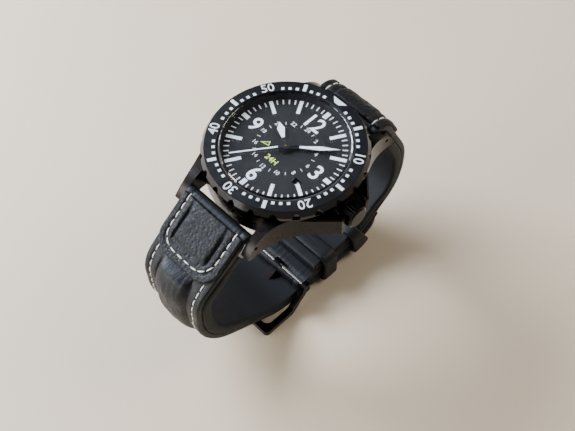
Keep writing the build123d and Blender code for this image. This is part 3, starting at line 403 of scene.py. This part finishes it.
# Printing ink for the small scale: flat white with slightly uneven cover.
ink_white, tree, shader = material("printing_ink_white", "#d9dcdc", 0.55, ior=1.5)
cover = noise_of(tree, 0.12, place_in(tree), detail=2)
drive(tree, shader, "Base Color", blend_colours(tree, cover, "#c4c8c9", "#e4e7e7"))
drive(tree, shader, "Roughness", span(tree, cover, 0.3, 0.7, 0.48, 0.62))

# Nitrile rubber for the seals: very dark, with a dull bloom.
rubber, tree, shader = material("rubber_nitrile_black", "#17171a", 0.6, ior=1.5)
bloom = noise_of(tree, 0.4, place_in(tree))
drive(tree, shader, "Base Color", blend_colours(tree, bloom, "#131315", "#1e1e20"))
drive(tree, shader, "Roughness", span(tree, bloom, 0.3, 0.7, 0.52, 0.7))

# The movement ring is moulded nylon with the fine texture of its mould.
nylon, tree, shader = material("nylon_moulded_black", "#26262a", 0.5, ior=1.53)
mould = noise_of(tree, 0.2, place_in(tree), detail=2)
relief(tree, shader, mould, 0.004)
drive(tree, shader, "Base Color", blend_colours(tree, mould, "#212124", "#2d2d31"))
drive(tree, shader, "Roughness", span(tree, mould, 0.3, 0.7, 0.42, 0.58))

# Sapphire crystal: clear and hard, with an index of 1.77, so its edge and bevel flash while the middle
# stays clear. Light from lamps passes straight through it, as if it were air, so the dial is lit.
sapphire, tree, shader = material("sapphire_polished", "#ffffff", 0.0, ior=1.77, transmission_weight=1.0)
haze = noise_of(tree, 4.0, place_in(tree))
drive(tree, shader, "Base Color", blend_colours(tree, haze, "#f4f8fc", "#fbfdff"))
lamp_ray = add(tree, "ShaderNodeLightPath").outputs["Is Shadow Ray"]
clear = add(tree, "ShaderNodeBsdfTransparent", {"Color": (0.94, 0.95, 0.96, 1)}).outputs[0]
output = tree.nodes["Material Output"]
mixed = add(tree, "ShaderNodeMixShader", {0: lamp_ray, 1: shader.outputs[0], 2: clear}).outputs[0]
tree.links.new(mixed, output.inputs["Surface"])
print("dial and crystal materials are ready; the crystal passes lamp light")

# %% [markdown]
# ### Leather
#
# The strap's outside is grained calf: the tannery presses a pebble of cells about a millimetre across. The
# cell tops are painted a lighter blue-grey as painted highlight and the hollows darker as painted shade, so
# the leather breaks into blue-grey specks. The padded middle is stretched smooth and creases lengthways
# instead. The lining is smooth, and takes a soft bluish sheen.


# %% Leather and thread
def leather(name, dark, light, pebble_mm, pebble_depth, crease_depth, rough_low, rough_high):
    """Grained leather: pressed cells, finer pores, and creases along the strap from its own coordinates."""
    made, tree, shader = material(name, dark, 0.5, ior=1.38, specular_tint=(0.82, 0.9, 1, 1))
    along_strap = place_in(tree, source="UV")
    wander = add(
        tree, "ShaderNodeTexNoise", {"Vector": along_strap, "Scale": 1 / (1.2 * MM)}
    ).outputs["Color"]
    shift = add(tree, "ShaderNodeVectorMath", {0: wander, "Scale": 0.35 * MM}, operation="SCALE").outputs[0]
    bent = add(tree, "ShaderNodeVectorMath", {0: along_strap, 1: shift}, operation="ADD").outputs[0]
    cells = cells_of(tree, pebble_mm, bent)
    pores = noise_of(tree, 0.16, along_strap, detail=2)
    creases = noise_of(tree, 0.9, place_in(tree, (1, 0.16, 1), "UV"), detail=3)
    first = relief(tree, shader, span(tree, cells, 0.0, 0.75, 1.0, 0.0), pebble_depth)
    second = relief(tree, shader, creases, crease_depth, first)
    relief(tree, shader, pores, 0.012, second)
    drive(tree, shader, "Roughness", span(tree, cells, 0.1, 0.6, rough_low, rough_high))
    # Painted highlight and shade: the raised cell tops get the lighter blue-grey colour, the hollows between
    # cells the darker one.
    painted_cell_light = span(tree, cells, 0.15, 0.65, 1.0, 0.0)
    drive(tree, shader, "Base Color", blend_colours(tree, painted_cell_light, dark, light))
    return made


pebble_size = 0.8
grained = leather("leather_calf_pebbled_black", "#060708", "#101215", pebble_size, 0.11, 0.05, 0.4, 0.6)
smooth = leather("leather_calf_smooth_black", "#07080a", "#0f1114", 0.5, 0.02, 0.12, 0.4, 0.52)
lining = leather("leather_lining_smooth", "#040506", "#07080a", 0.35, 0.012, 0.04, 0.55, 0.68)

# Waxed linen thread: off-white, two plies with a soft sheen.
thread, tree, shader = material("thread_linen_waxed", "#e9e8e0", 0.55, ior=1.5, sheen_weight=0.2)
fibre = noise_of(tree, 0.06, place_in(tree), detail=3)
relief(tree, shader, fibre, 0.02)
drive(tree, shader, "Base Color", blend_colours(tree, fibre, "#d6d4ca", "#f5f4ee"))
print("leather cells about", pebble_size, "mm across on the pebbled leather")

# %% [markdown]
# ## Finish of each CAD node
#
# The nodes that stay as they are get the material of what they are made of.

# %% Give every CAD node its material
finishes = {
    coated_blasted: ["mid_case", "case_back", "crown", "buckle_frame", "buckle_tongue"],
    coated_turned: ["bezel_ring"],
    steel_turned: [
        "spring_bars", "buckle_spring_bar", "bezel_click_spring", "bezel_retaining_wire", "crown_tube",
        "winding_stem", "bridge_screws", "sliding_pinion", "winding_pinion", "rotor_bearing", "rotor",
    ],
    sapphire: ["crystal"],
    rubber: ["case_back_gasket", "crystal_gasket", "crown_gasket"],
    dial_black: [
        "dial", "dial_flange", "hour_hand", "minute_hand", "seconds_hand", "dual_time_hand", "date_ring",
    ],
    insert_black: ["bezel_insert"],
    lume: ["bezel_marker", "hour_lume", "minute_lume", "seconds_lume"],
    green_lume: ["dual_time_arrow"],
    brass: [
        "barrel", "centre_wheel", "third_wheel", "fourth_wheel", "balance_wheel", "hour_wheel",
        "minute_wheel", "dual_time_wheel",
    ],
    rhodium: ["main_plate", "train_bridge", "balance_cock", "escape_wheel", "pallet_fork", "cannon_pinion"],
    blued: ["mainspring", "hairspring"],
    nylon: ["movement_ring"],
    grained: [
        "strap_12_outer", "strap_6_outer", "strap_12_patch", "strap_6_patch", "fixed_keeper", "free_keeper",
    ],
    lining: ["strap_12_lining", "strap_6_lining"],
}
for chosen, names in finishes.items():
    for node in names:
        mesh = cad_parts[node].data
        mesh.materials.clear()
        mesh.materials.append(chosen)
print("CAD nodes with a material:", sum(len(names) for names in finishes.values()), "of", len(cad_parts))

# %% [markdown]
# ## Strap leather
#
# Each layer is a closed skin over the strap's own length and width. A height says how far each point
# stands outside the route: a padded ridge down the middle with a groove on each side, folded edges, a
# slight sink along the stitches, and wrinkles where the leather bends.


# %% A padded skin along a route
def ease(value, start, end):
    """A smooth step from 0 to 1 between two values, in either order."""
    t = np.clip((value - start) / (end - start), 0, 1)
    return t * t * (3 - 2 * t)


def wave_noise(s, x, size, stretch=1.0, seed=0.0):
    """Smooth noise over the strap, longer along it by a stretch."""
    values = [noise.noise((a / (size * stretch), b / size, seed)) for a, b in zip(s.ravel(), x.ravel())]
    return np.array(values).reshape(s.shape)


def rounded_end(s, x, half, end, corner):
    """How far a point lies inside a strip with one end rounded at its corners."""
    beside, beyond = np.abs(x) - (half - corner), s - (end - corner)
    outside = np.hypot(np.maximum(beside, 0), np.maximum(beyond, 0))
    return corner - outside - np.minimum(np.maximum(beside, beyond), 0)


def stations_to(start, end, corner, step, towards_start=False):
    """Distances along a strip, closer together round its end so that the corners come out round."""
    straight = np.arange(start, end - corner, step)
    curved = end - corner + corner * np.sin(np.linspace(0, math.pi / 2, 14))
    found = np.concatenate([straight, curved])
    return (start + end - found)[::-1] if towards_start else found


def skin(name, route, stations, half, inset, top, bottom, roll, material, stands_for, across=121):
    """A closed padded strip: half gives each station's half width, and roll rounds the two faces' edges."""
    share = np.linspace(-1, 1, across)
    share = 0.45 * share + 0.55 * np.sin(share * math.pi / 2)
    s, u = np.meshgrid(stations, share, indexing="ij")
    x = u * half(s)
    depth = np.clip(inset(s, x), 0, roll)
    fall = roll - np.sqrt(np.maximum(roll**2 - (roll - depth) ** 2, 0))
    above, below = top(s, x) - fall, bottom(s, x) + fall
    below = np.minimum(below, above - 0.02)
    rows = np.concatenate([route.place(s, x, above), route.place(s, x, below)[:, ::-1]], axis=1)
    faces = grid_faces(len(stations), 2 * across)
    made = piece(name, rows.reshape(-1, 3), faces, material, "case", stands_for=stands_for)
    outside, inside = np.stack([x, s], -1), np.stack([x, s + 300], -1)[:, ::-1]
    chart = np.concatenate([outside, inside], axis=1).reshape(-1, 2) * MM
    uv = made.data.uv_layers.new(name="StrapMap")
    corners = np.empty(len(made.data.loops), int)
    made.data.loops.foreach_get("vertex_index", corners)
    uv.data.foreach_set("uv", chart[corners].ravel())
    return made


# %% Heights of the outer leather
stitch_inset = 2.1
ridge_half = 4.6
long_patch_end = long_route.start + patch_length
short_patch_start = short_lug_end - patch_length
thin_from = long_route.s[np.argmin(np.hypot(long_route.y + 24.6, long_route.z + 39.3))]


def padded_top(route, fade):
    """The outer leather's height: ridge, grooves, sewn line and folded edge, where fade is 1."""

    def top(s, x):
        side, edge = np.abs(x), route.half_width(s) - np.abs(x)
        strength = fade(s)
        ridge = 1.7 * np.sqrt(np.clip(1 - (side / (ridge_half + 0.7)) ** 2, 0, 1)) ** 0.8
        groove = -0.3 * np.exp(-(((side - ridge_half - 0.9) / 0.4) ** 2))
        sewn = -0.2 * np.exp(-(((edge - stitch_inset) / 0.4) ** 2))
        swell = 0.14 * np.exp(-(((edge - 0.9) / 0.7) ** 2))
        rumple = 0.16 * wave_noise(s, x, 2.2, 2.6, 1.0) + 0.07 * wave_noise(s, x, 0.9, 3.0, 4.0)
        padding = ridge + groove + rumple * (1 - ease(edge, 1.2, 0.2))
        return strength * padding + (sewn + swell) * (0.4 + 0.6 * strength)

    return top


skived_length, skived_thickness = 2.5, 0.95


def under_fold(route):
    """The leather's inner face: skived thin where it folds round a bar, full thickness past it."""

    def bottom(s, x):
        folded = ease(s, route.start + skived_length, route.start)
        if route is short_route:
            folded = np.maximum(folded, ease(s, short_lug_end - skived_length, short_lug_end))
        return -leather_thickness + (leather_thickness - skived_thickness) * folded + 0 * x

    return bottom


long_top = padded_top(
    long_route,
    lambda s: ease(s, long_patch_end - 0.5, long_patch_end + 3.5) * ease(s, thin_from + 4, thin_from - 8),
)
short_pad_from = short_route.start + 30.0
short_top = padded_top(
    short_route,
    lambda s: ease(s, short_patch_start + 0.5, short_patch_start - 3.5)
    * ease(s, short_pad_from, short_pad_from + 9),
)

tip_corner = 6.0
tip_from = long_route.length - tip_corner
taper_loss = strap_half - tail_half


def tail_half_width(s):
    """Half the long leather's width: the strap's taper, then the rounded tip of its tail."""
    rounding = np.sqrt(np.maximum(tip_corner**2 - np.maximum(s - tip_from, 0) ** 2, 0))
    before_tip = taper_loss * (s < tip_from)
    return np.minimum(long_route.half_width(s), tail_half - tip_corner + rounding + before_tip)


def tail_inset(s, x):
    """How far a point of the long leather lies inside its edge."""
    tip = rounded_end(s, x, tail_half + taper_loss * (s < tip_from), long_route.length, tip_corner)
    return np.minimum(long_route.half_width(s) - np.abs(x), tip)


leather_6 = skin(
    "strap_6_leather", long_route, stations_to(0, long_route.length, tip_corner, 0.45),
    tail_half_width, tail_inset, long_top, under_fold(long_route), 0.45, smooth, ["strap_6_outer"],
)
leather_12 = skin(
    "strap_12_leather", short_route, np.arange(0, short_route.length, 0.45), short_route.half_width,
    lambda s, x: short_route.half_width(s) - np.abs(x),
    short_top, under_fold(short_route), 0.45, smooth, ["strap_12_outer"],
)
print("outer leather: corners", len(leather_6.data.vertices), len(leather_12.data.vertices))


# %% Linings: a thick soft roll that stands a little outside the leather's edge
def lining_skin(name, route, start, end, thickness, wide_from, wide_to, replaced):
    """The inside layer, its edge a full round, a little wider than the leather between two distances."""

    def half(s):
        return route.half_width(s) + 0.35 * ease(s, wide_from, wide_from + 6) * ease(s, wide_to, wide_to - 6)

    def inset(s, x):
        return np.minimum(half(s) - np.abs(x), np.minimum(s - start, end - s) + 0.02)

    top_at = -(leather_thickness + layer_gap)
    stations = np.unique(np.concatenate([
        start + 1.5 * (1 - np.cos(np.linspace(0, math.pi / 2, 8))), np.arange(start + 1.6, end - 1.6, 0.6),
        end - 1.5 * (1 - np.cos(np.linspace(0, math.pi / 2, 8))),
    ]))
    return skin(
        name, route, stations, half, inset, lambda s, x: top_at + 0 * s,
        lambda s, x: top_at - thickness(s)
        - 0.05 * wave_noise(s, x, 3.0, 2.0, 7.0) * ease(thickness(s), 1.7, 2.6),
        0.75, lining, replaced, across=81,
    )


def long_lining_thickness(s):
    """Thick on the wrist's side, thin where the tail lies between the other half and its keepers."""
    thick = ease(s, thin_from, thin_from - 8)
    return tail_lining_thickness + (lining_thickness - tail_lining_thickness) * thick


lining_6 = lining_skin(
    "strap_6_lining_leather", long_route, long_route.start + 5.0, long_route.length - 1.2,
    long_lining_thickness, long_route.start + 8, thin_from, ["strap_6_lining"],
)
lining_12 = lining_skin(
    "strap_12_lining_leather", short_route, short_route.start + 5.1, short_lug_end - 5.0,
    lambda s: lining_thickness + 0 * s, short_pad_from + 4, short_lug_end - 9, ["strap_12_lining"],
)
print("linings start and end clear of the bars")

# %% [markdown]
# ### Patches
#
# A stitched overlay covers each half next to its lug. It is pebbled leather over foam: sewn down along its
# edge, with an embossed groove further in that leaves a raised pad in the middle.

# %% The two overlays
emboss_inset, emboss_width = 4.4, 0.3


def patch_skin(name, route, from_lug, replaced, seed):
    """The overlay on one half, where from_lug turns a distance along the route into one from the lug."""
    corner = patch_corner

    def inside(s, x):
        return rounded_end(from_lug(s), x, patch_half, patch_length, corner)

    def half(s):
        beyond = np.maximum(from_lug(s) - (patch_length - corner), 0)
        return patch_half - corner + np.sqrt(np.maximum(corner**2 - beyond**2, 0))

    def top(s, x):
        edge, t = inside(s, x), from_lug(s)
        sewn = -0.3 * np.exp(-(((edge - stitch_inset) / 0.42) ** 2))
        groove = -0.5 * np.exp(-(((edge - emboss_inset) / emboss_width) ** 2)) * ease(t, 1, 4)
        pad = 0.35 * ease(edge, emboss_inset, emboss_inset + 1.2)
        swell = 0.12 * np.exp(-(((edge - 3.5) / 0.8) ** 2))
        rumple = 0.1 * wave_noise(s, x, 2.4, 1.0, seed) * ease(edge, 0.8, 2.6)
        return layer_gap + patch_thickness + sewn + groove + pad + swell + rumple

    if from_lug(route.start) == 0:
        stations = stations_to(route.start, long_patch_end, corner, 0.3)
    else:
        stations = stations_to(short_patch_start, short_lug_end, corner, 0.3, towards_start=True)
    made = skin(
        name, route, stations, half, lambda s, x: np.minimum(inside(s, x), from_lug(s) + 0.3),
        top, lambda s, x: layer_gap + 0 * s, 0.5, grained, replaced, across=141,
    )
    return top


patch_6_top = patch_skin(
    "strap_6_patch_leather", long_route, lambda s: s - long_route.start, ["strap_6_patch"], 11.0
)
patch_12_top = patch_skin(
    "strap_12_patch_leather", short_route, lambda s: short_lug_end - s, ["strap_12_patch"], 17.0
)
print("patches reach", patch_length, "mm from the lugs")

# %% [markdown]
# ### Stitches
#
# Saddle stitches in waxed linen. Each is a short two-ply cord that rises from one hole, lies on the leather
# and goes down the next, so a row reads as plump dashes with dark holes between them.

# %% Sew along a line
stitch_pitch, stitch_length, thread_radius = 2.5, 2.05, 0.19


def sew(name, route, line, surface, body="case"):
    """A row of stitches along (distance, across) points, lying on a surface of the given height."""
    line = np.array(line, float)
    reach = np.concatenate([[0], np.cumsum(np.hypot(*np.diff(line, axis=0).T))])
    count = int(reach[-1] / stitch_pitch)
    rows, around = 13, 10
    angle = np.linspace(0, 2 * math.pi, around, endpoint=False)
    corners, faces = [], []
    for k in range(count):
        share = np.linspace(0, 1, rows)
        at = reach[-1] / count * (k + 0.5) + (share - 0.5) * stitch_length
        s, x = np.interp(at, reach, line[:, 0]), np.interp(at, reach, line[:, 1])
        run = np.gradient(np.stack([s, x], -1), axis=0)
        run /= np.linalg.norm(run, axis=1)[:, None]
        rise = np.sin(share * math.pi) ** 0.6
        height = surface(s[None], x[None])[0] + 0.05 + thread_radius * (1.15 * rise - 0.75)
        size = thread_radius * (0.55 + 0.45 * rise)
        twist = 1 + 0.13 * np.cos(2 * (angle[None] - 5.5 * share[:, None]))
        spread = size[:, None] * twist * np.cos(angle)[None]
        lift = size[:, None] * twist * np.sin(angle)[None] * 0.85
        row_s = s[:, None] - run[:, 1:2] * spread
        row_x = x[:, None] + run[:, 0:1] * spread
        faces += grid_faces(rows, around, len(corners) * rows * around)
        corners.append(route.place(row_s, row_x, height[:, None] + lift).reshape(-1, 3))
    return piece(name, np.concatenate(corners), faces, thread, body), count


def along_edge(route, start, end, inset=stitch_inset, side=1):
    """A line at a constant distance from one edge."""
    s = np.linspace(start, end, 120)
    return np.stack([s, side * (route.half_width(s) - inset)], -1)


def round_patch(at, corner=patch_corner + 0.6, inset=stitch_inset):
    """Up one side of an overlay, round its end and down the other, with at(t) the route's distance."""
    half, end, radius = patch_half - inset, patch_length - inset, corner - inset + 1.2
    line = [(t, -half) for t in np.linspace(-0.6, end - radius, 40)]
    for a in np.linspace(0, math.pi / 2, 12):
        line.append((end - radius + radius * math.sin(a), -half + radius - radius * math.cos(a)))
    line += [(t, -x) for t, x in reversed(line)]
    return [(at(t), x) for t, x in line]


sewn_patch_6, count_a = sew(
    "stitches_6_patch", long_route, round_patch(lambda t: long_route.start + t), patch_6_top
)
sewn_patch_12, count_b = sew(
    "stitches_12_patch", short_route, round_patch(lambda t: short_lug_end - t), patch_12_top
)
tail_line = []
tip_radius = tip_corner - stitch_inset
for side in (-1, 1):
    edge = along_edge(long_route, long_patch_end - 1.0, long_route.length - tip_corner, side=side)
    turn_in = [
        (long_route.length - tip_corner + tip_radius * math.sin(a),
         side * (tail_half - tip_corner + tip_radius * math.cos(a)))
        for a in np.linspace(0, math.pi / 2, 10)
    ]
    tail_line.append(list(map(tuple, edge)) + turn_in)
sewn_strap_6, count_c = sew("stitches_6_strap", long_route, tail_line[0] + tail_line[1][::-1], long_top)
sewn_left, count_d = sew(
    "stitches_12_strap_left", short_route,
    along_edge(short_route, short_route.start + 0.5, short_patch_start + 1.0, side=-1), short_top,
)
sewn_right, count_e = sew(
    "stitches_12_strap_right", short_route,
    along_edge(short_route, short_route.start + 0.5, short_patch_start + 1.0, side=1), short_top,
)
print("stitches:", count_a + count_b + count_c + count_d + count_e)

# %% [markdown]
# ### Keepers
#
# Two leather loops hold the tail: one is sewn in near the buckle, and the other slides on the bend.

# %% Leather loops
keeper_half, keeper_wall, keeper_width, keeper_gap = tail_half + 0.3, 1.5, 5.0, 0.3
keeper_low = loop_bottom - keeper_gap
keeper_high = short_bottom + leather_thickness + layer_gap + lining_thickness + keeper_gap


def keeper(name, to_world, body, node):
    """A closed strip of leather round a rounded window, where to_world places (x, across, height)."""
    corner = 2.2
    half_x = keeper_half + keeper_wall / 2 - corner
    half_z = (keeper_high - keeper_low + keeper_wall) / 2 - corner
    middle = (keeper_high + keeper_low) / 2
    ring = []
    centres = ((half_x, half_z), (-half_x, half_z), (-half_x, -half_z), (half_x, -half_z))
    for quarter, (cx, cz) in enumerate(centres):
        for a in np.linspace(0, math.pi / 2, 10):
            angle = quarter * math.pi / 2 + a
            ring.append((cx + corner * math.cos(angle), middle + cz + corner * math.sin(angle), angle))
        nx, nz = centres[(quarter + 1) % len(centres)]
        for k in np.linspace(0.06, 0.94, 14):
            ring.append((
                cx + (nx - cx) * k + corner * math.cos(angle),
                middle + cz + (nz - cz) * k + corner * math.sin(angle), angle,
            ))
    ring = np.array(ring)
    section = []
    for a in np.linspace(0, 2 * math.pi, 28, endpoint=False):
        across = keeper_width / 2 * np.sign(math.cos(a)) * abs(math.cos(a)) ** 0.3
        out = keeper_wall / 2 * np.sign(math.sin(a)) * abs(math.sin(a)) ** 0.55
        section.append((across, out))
    corners, chart = [], []
    for i, (x, z, angle) in enumerate(ring):
        for across, out in section:
            corners.append(to_world(x + out * math.cos(angle), across, z + out * math.sin(angle)))
            chart.append((across * MM, i * 0.6 * MM))
    around, count = len(section), len(ring)
    faces = []
    for i in range(count):
        for j in range(around):
            a, b = i * around + j, i * around + (j + 1) % around
            c, d = (i + 1) % count * around + (j + 1) % around, (i + 1) % count * around + j
            faces.append((a, b, c, d))
    made = piece(name, corners, faces, smooth, body, stands_for=[node])
    uv = made.data.uv_layers.new(name="StrapMap")
    for loop in made.data.loops:
        uv.data[loop.index].uv = chart[loop.vertex_index]


bend_centre = (short_turn[0] - bend_radius * math.tan(hip_angle / 2), short_bottom + bend_radius)


def on_bend(x, across, z):
    """A place on the free keeper, which sits across the middle of the strap's bend."""
    angle = hip_angle / 2 + across / bend_radius
    radius = bend_centre[1] - z
    return x, bend_centre[0] + radius * math.sin(angle), bend_centre[1] - radius * math.cos(angle)


keeper("keeper_fixed_leather", lambda x, across, z: (x, 6.0 + across, z), "case", "fixed_keeper")
keeper("keeper_free_leather", on_bend, "keeper", "free_keeper")
print("keepers stand for their CAD loops")

# %% [markdown]
# ## Prints
#
# The dial is screen printed in thick luminous white, the bezel insert likewise, and the 24-hour scale in
# thin ink. Figures are set upright in a plain bold face, and turned outward on the bezel.

# %% Flat printed shapes
dial_top, insert_top, date_top = 9.0, 11.5, 8.2
lume_print, ink_print = 0.06, 0.015


def printed(name, outlines, level, thickness, material, body):
    """Flat outlines of (x, y) corners, each raised into a thin closed print."""
    corners, faces = [], []
    for outline in outlines:
        count, first = len(outline), len(corners)
        corners += [(x, y, level + 0.002) for x, y in outline]
        corners += [(x, y, level + thickness) for x, y in outline]
        faces.append(tuple(first + k for k in reversed(range(count))))
        faces.append(tuple(first + count + k for k in range(count)))
        faces += [
            (first + k, first + (k + 1) % count, first + count + (k + 1) % count, first + count + k)
            for k in range(count)
        ]
    return piece(name, corners, faces, material, body, smooth=False)


def bar(angle, inner, outer, width):
    """A bar along a radius, with its angle in degrees clockwise from 12 o'clock."""
    a = math.radians(90 - angle)
    along_x, along_y = math.cos(a), math.sin(a)
    half = width / 2
    return [
        (inner * along_x + half * along_y, inner * along_y - half * along_x),
        (outer * along_x + half * along_y, outer * along_y - half * along_x),
        (outer * along_x - half * along_y, outer * along_y + half * along_x),
        (inner * along_x - half * along_y, inner * along_y + half * along_x),
    ]


def figure(text, height, angle, radius, turned, level, thickness, weight, width=1.0):
    """A printed figure centred on a radius; turned is its own turn in degrees, clockwise."""
    curve = bpy.data.curves.new("figure", "FONT")
    curve.body = text
    curve.offset = weight
    curve.resolution_u = 4
    maker = bpy.data.objects.new("figure", curve)
    bpy.context.scene.collection.objects.link(maker)
    bpy.context.view_layer.update()
    mesh = bpy.data.meshes.new_from_object(maker.evaluated_get(bpy.context.evaluated_depsgraph_get()))
    bpy.data.objects.remove(maker)
    bpy.data.curves.remove(curve)
    flat = np.array([v.co[:2] for v in mesh.vertices])
    faces = [tuple(p.vertices) for p in mesh.polygons]
    flat = (flat - (flat.max(0) + flat.min(0)) / 2) * height / np.ptp(flat[:, 1]) * (width, 1)
    edges = {}
    for face in faces:
        for a, b in zip(face, face[1:] + face[:1]):
            edges[(a, b)] = edges.get((a, b), 0) + 1
    rim = [(a, b) for (a, b) in edges if (b, a) not in edges]
    a = math.radians(90 - angle)
    t = -math.radians(turned)
    x = radius * math.cos(a) + flat[:, 0] * math.cos(t) - flat[:, 1] * math.sin(t)
    y = radius * math.sin(a) + flat[:, 0] * math.sin(t) + flat[:, 1] * math.cos(t)
    count = len(flat)
    corners = [(p, q, level + 0.002) for p, q in zip(x, y)]
    corners += [(p, q, level + thickness) for p, q in zip(x, y)]
    solid = [tuple(reversed(f)) for f in faces] + [tuple(k + count for k in f) for f in faces]
    solid += [(a, b, b + count, a + count) for a, b in rim]
    return corners, solid


def figures(name, made, material, body):
    """Several printed figures as one piece."""
    corners, faces = [], []
    for more, solid in made:
        faces += [tuple(k + len(corners) for k in face) for face in solid]
        corners += more
    return piece(name, corners, faces, material, body, smooth=False)


# %% Dial: hour bars, minute ticks, four bold figures and the 24-hour scale
long_bars = [bar(30 * h, 11.5, 15.73, 0.95) for h in range(12) if h % 3]
short_bars = [bar(90 * q, 13.6, 15.73, 1.2) for q in range(4)]
hour_bars = printed("dial_hour_bars", long_bars + short_bars, dial_top, lume_print, lume, "case")
ticks = [bar(6 * m, 14.3, 15.7, 0.32) for m in range(60) if m % 5]
minute_ticks = printed("dial_minute_ticks", ticks, dial_top, ink_print, ink_white, "case")
hour_figures = figures(
    "dial_hour_figures",
    [
        figure(text, 4.5, angle, radius, 0, dial_top, lume_print, weight=0.012, width=0.95)
        for text, angle, radius in (("12", 0, 10.8), ("3", 90, 10.8), ("6", 180, 11.0), ("9", 270, 10.9))
    ],
    lume, "case",
)
day_figures = figures(
    "dial_24_hour_figures",
    [
        figure(str(h), 1.15, 15 * h, 7.9, 0, dial_top, ink_print, weight=0.01)
        for h in range(2, 25, 2)
    ],
    ink_white, "case",
)
day_dashes = printed(
    "dial_24_hour_dashes", [bar(15 * h, 7.45, 8.35, 0.16) for h in range(1, 24, 2)],
    dial_top, ink_print, ink_white, "case",
)
second_zone_label = figures(
    "dial_24_hour_label",
    [figure("24H", 1.6, 180, 4.95, 0, dial_top, ink_print, weight=0.01)], green_lume, "case",
)
print("dial prints:", len(long_bars + short_bars), "bars,", len(ticks), "ticks, 16 figures")

# %% Date ring: all thirty-one days, upright at the window between 3 and 5 o'clock
today, window_angle, window_radius = 3, 120, 10.9
days = []
for day in range(1, 32):
    turned = 360 / 31 * (day - today)
    days.append(figure(
        str(day), 1.25, window_angle + turned, window_radius, turned, date_top, ink_print, weight=0.02,
        width=0.85,
    ))
date_figures = figures("date_ring_figures", days, ink_white, "date")
print("days printed:", len(days))

# %% Bezel insert: ten-minute figures, five-minute bars and square minute marks
ten_figures = figures(
    "bezel_figures",
    [
        figure(str(m), 2.6, 6 * m, 18.9, 6 * m, insert_top, lume_print, weight=0.006)
        for m in range(10, 60, 10)
    ],
    lume, "bezel",
)
five_bars = printed(
    "bezel_five_minute_bars", [bar(6 * m, 17.75, 20.0, 0.95) for m in range(5, 60, 10)],
    insert_top, lume_print, lume, "bezel",
)
squares = [bar(6 * m, 17.7, 18.5, 0.8) for m in range(60) if m % 10 in (2, 3, 4, 6, 7, 8)]
minute_squares = printed("bezel_minute_marks", squares, insert_top, lume_print, lume, "bezel")
print("bezel prints: 5 figures, 6 bars and", len(squares), "squares")

# %% [markdown]
# ## Setting
#
# The watch stands on the bottom of its buckled loop on a plain pale table. A large window to the left gives
# the soft light, a low one lights the bezel's slope, and a weak fill lifts the far side.

# %% Table
table_top = low.z
table_mesh = bpy.data.meshes.new("table")
reach = 1.5
table_mesh.from_pydata(
    [
        (-reach, -reach, table_top), (reach, -reach, table_top), (reach, reach, table_top),
        (-reach, reach, table_top),
    ],
    [], [(0, 1, 2, 3)],
)
table = bpy.data.objects.new("table", table_mesh)
bpy.context.scene.collection.objects.link(table)
pale, tree, shader = material("table_lacquered_pale", "#d6c8b2", 0.55, ior=1.5)
tone = noise_of(tree, 60, place_in(tree, (1, 0.25, 1)), detail=3)
drive(tree, shader, "Base Color", blend_colours(tree, tone, "#d1c2aa", "#dacdb8"))
drive(tree, shader, "Roughness", span(tree, tone, 0.3, 0.7, 0.45, 0.58))
table_mesh.materials.append(pale)

# %% Light
# The room: bright walls low down, a dim ceiling overhead, so that level surfaces such as the dial and the
# insert stay dark while the bezel's sloping edge is lit.
world = bpy.data.worlds.new("room")
bpy.context.scene.world = world
world.use_nodes = True
sky = world.node_tree
direction = add(sky, "ShaderNodeTexCoord").outputs["Generated"]
upward = add(sky, "ShaderNodeSeparateXYZ", {0: direction}).outputs["Z"]
walls = span(sky, upward, 0.15, 0.75, 0.0, 1.0)
shade = blend_colours(sky, walls, "#e6dfd6", "#1c1b1a")
background = sky.nodes["Background"]
sky.links.new(shade, background.inputs["Color"])
background.inputs["Strength"].default_value = 0.45


def lamp(name, place, target, width, height, watts, colour):
    """A soft rectangular light, aimed at a point, with its size and place in millimetres."""
    light = bpy.data.lights.new(name, "AREA")
    light.shape = "RECTANGLE"
    light.size, light.size_y = width * MM, height * MM
    light.energy = watts
    light.color = linear(colour)[:3]
    holder = bpy.data.objects.new(name, light)
    holder.location = Vector(place) * MM
    holder.rotation_euler = (Vector(place) - Vector(target)).to_track_quat("Z", "Y").to_euler()
    bpy.context.scene.collection.objects.link(holder)


lamp("window", (-620, -150, 400), (0, 0, -20), 560, 400, 20.0, "#f1f4ff")
lamp("low_window", (-330, -760, 190), (0, 0, 0), 620, 260, 7.0, "#fbf6ee")
lamp("far_fill", (420, 620, 620), (0, 0, 0), 500, 500, 5.0, "#fff4e6")

# %% Camera
camera_data = bpy.data.cameras.new("camera")
camera_data.sensor_width, camera_data.lens = 36.0, 64.12
camera_data.clip_start, camera_data.clip_end = 0.01, 20
camera = bpy.data.objects.new("camera", camera_data)
bpy.context.scene.collection.objects.link(camera)
right, up = Vector((0.69871, 0.71520, -0.01744)), Vector((-0.58839, 0.58835, 0.55465))
axes = Matrix((right, up, right.cross(up))).transposed()
camera.matrix_world = Matrix.Translation(Vector((114.943, -106.667, 214.321)) * MM) @ axes.to_4x4()
bpy.context.scene.camera = camera
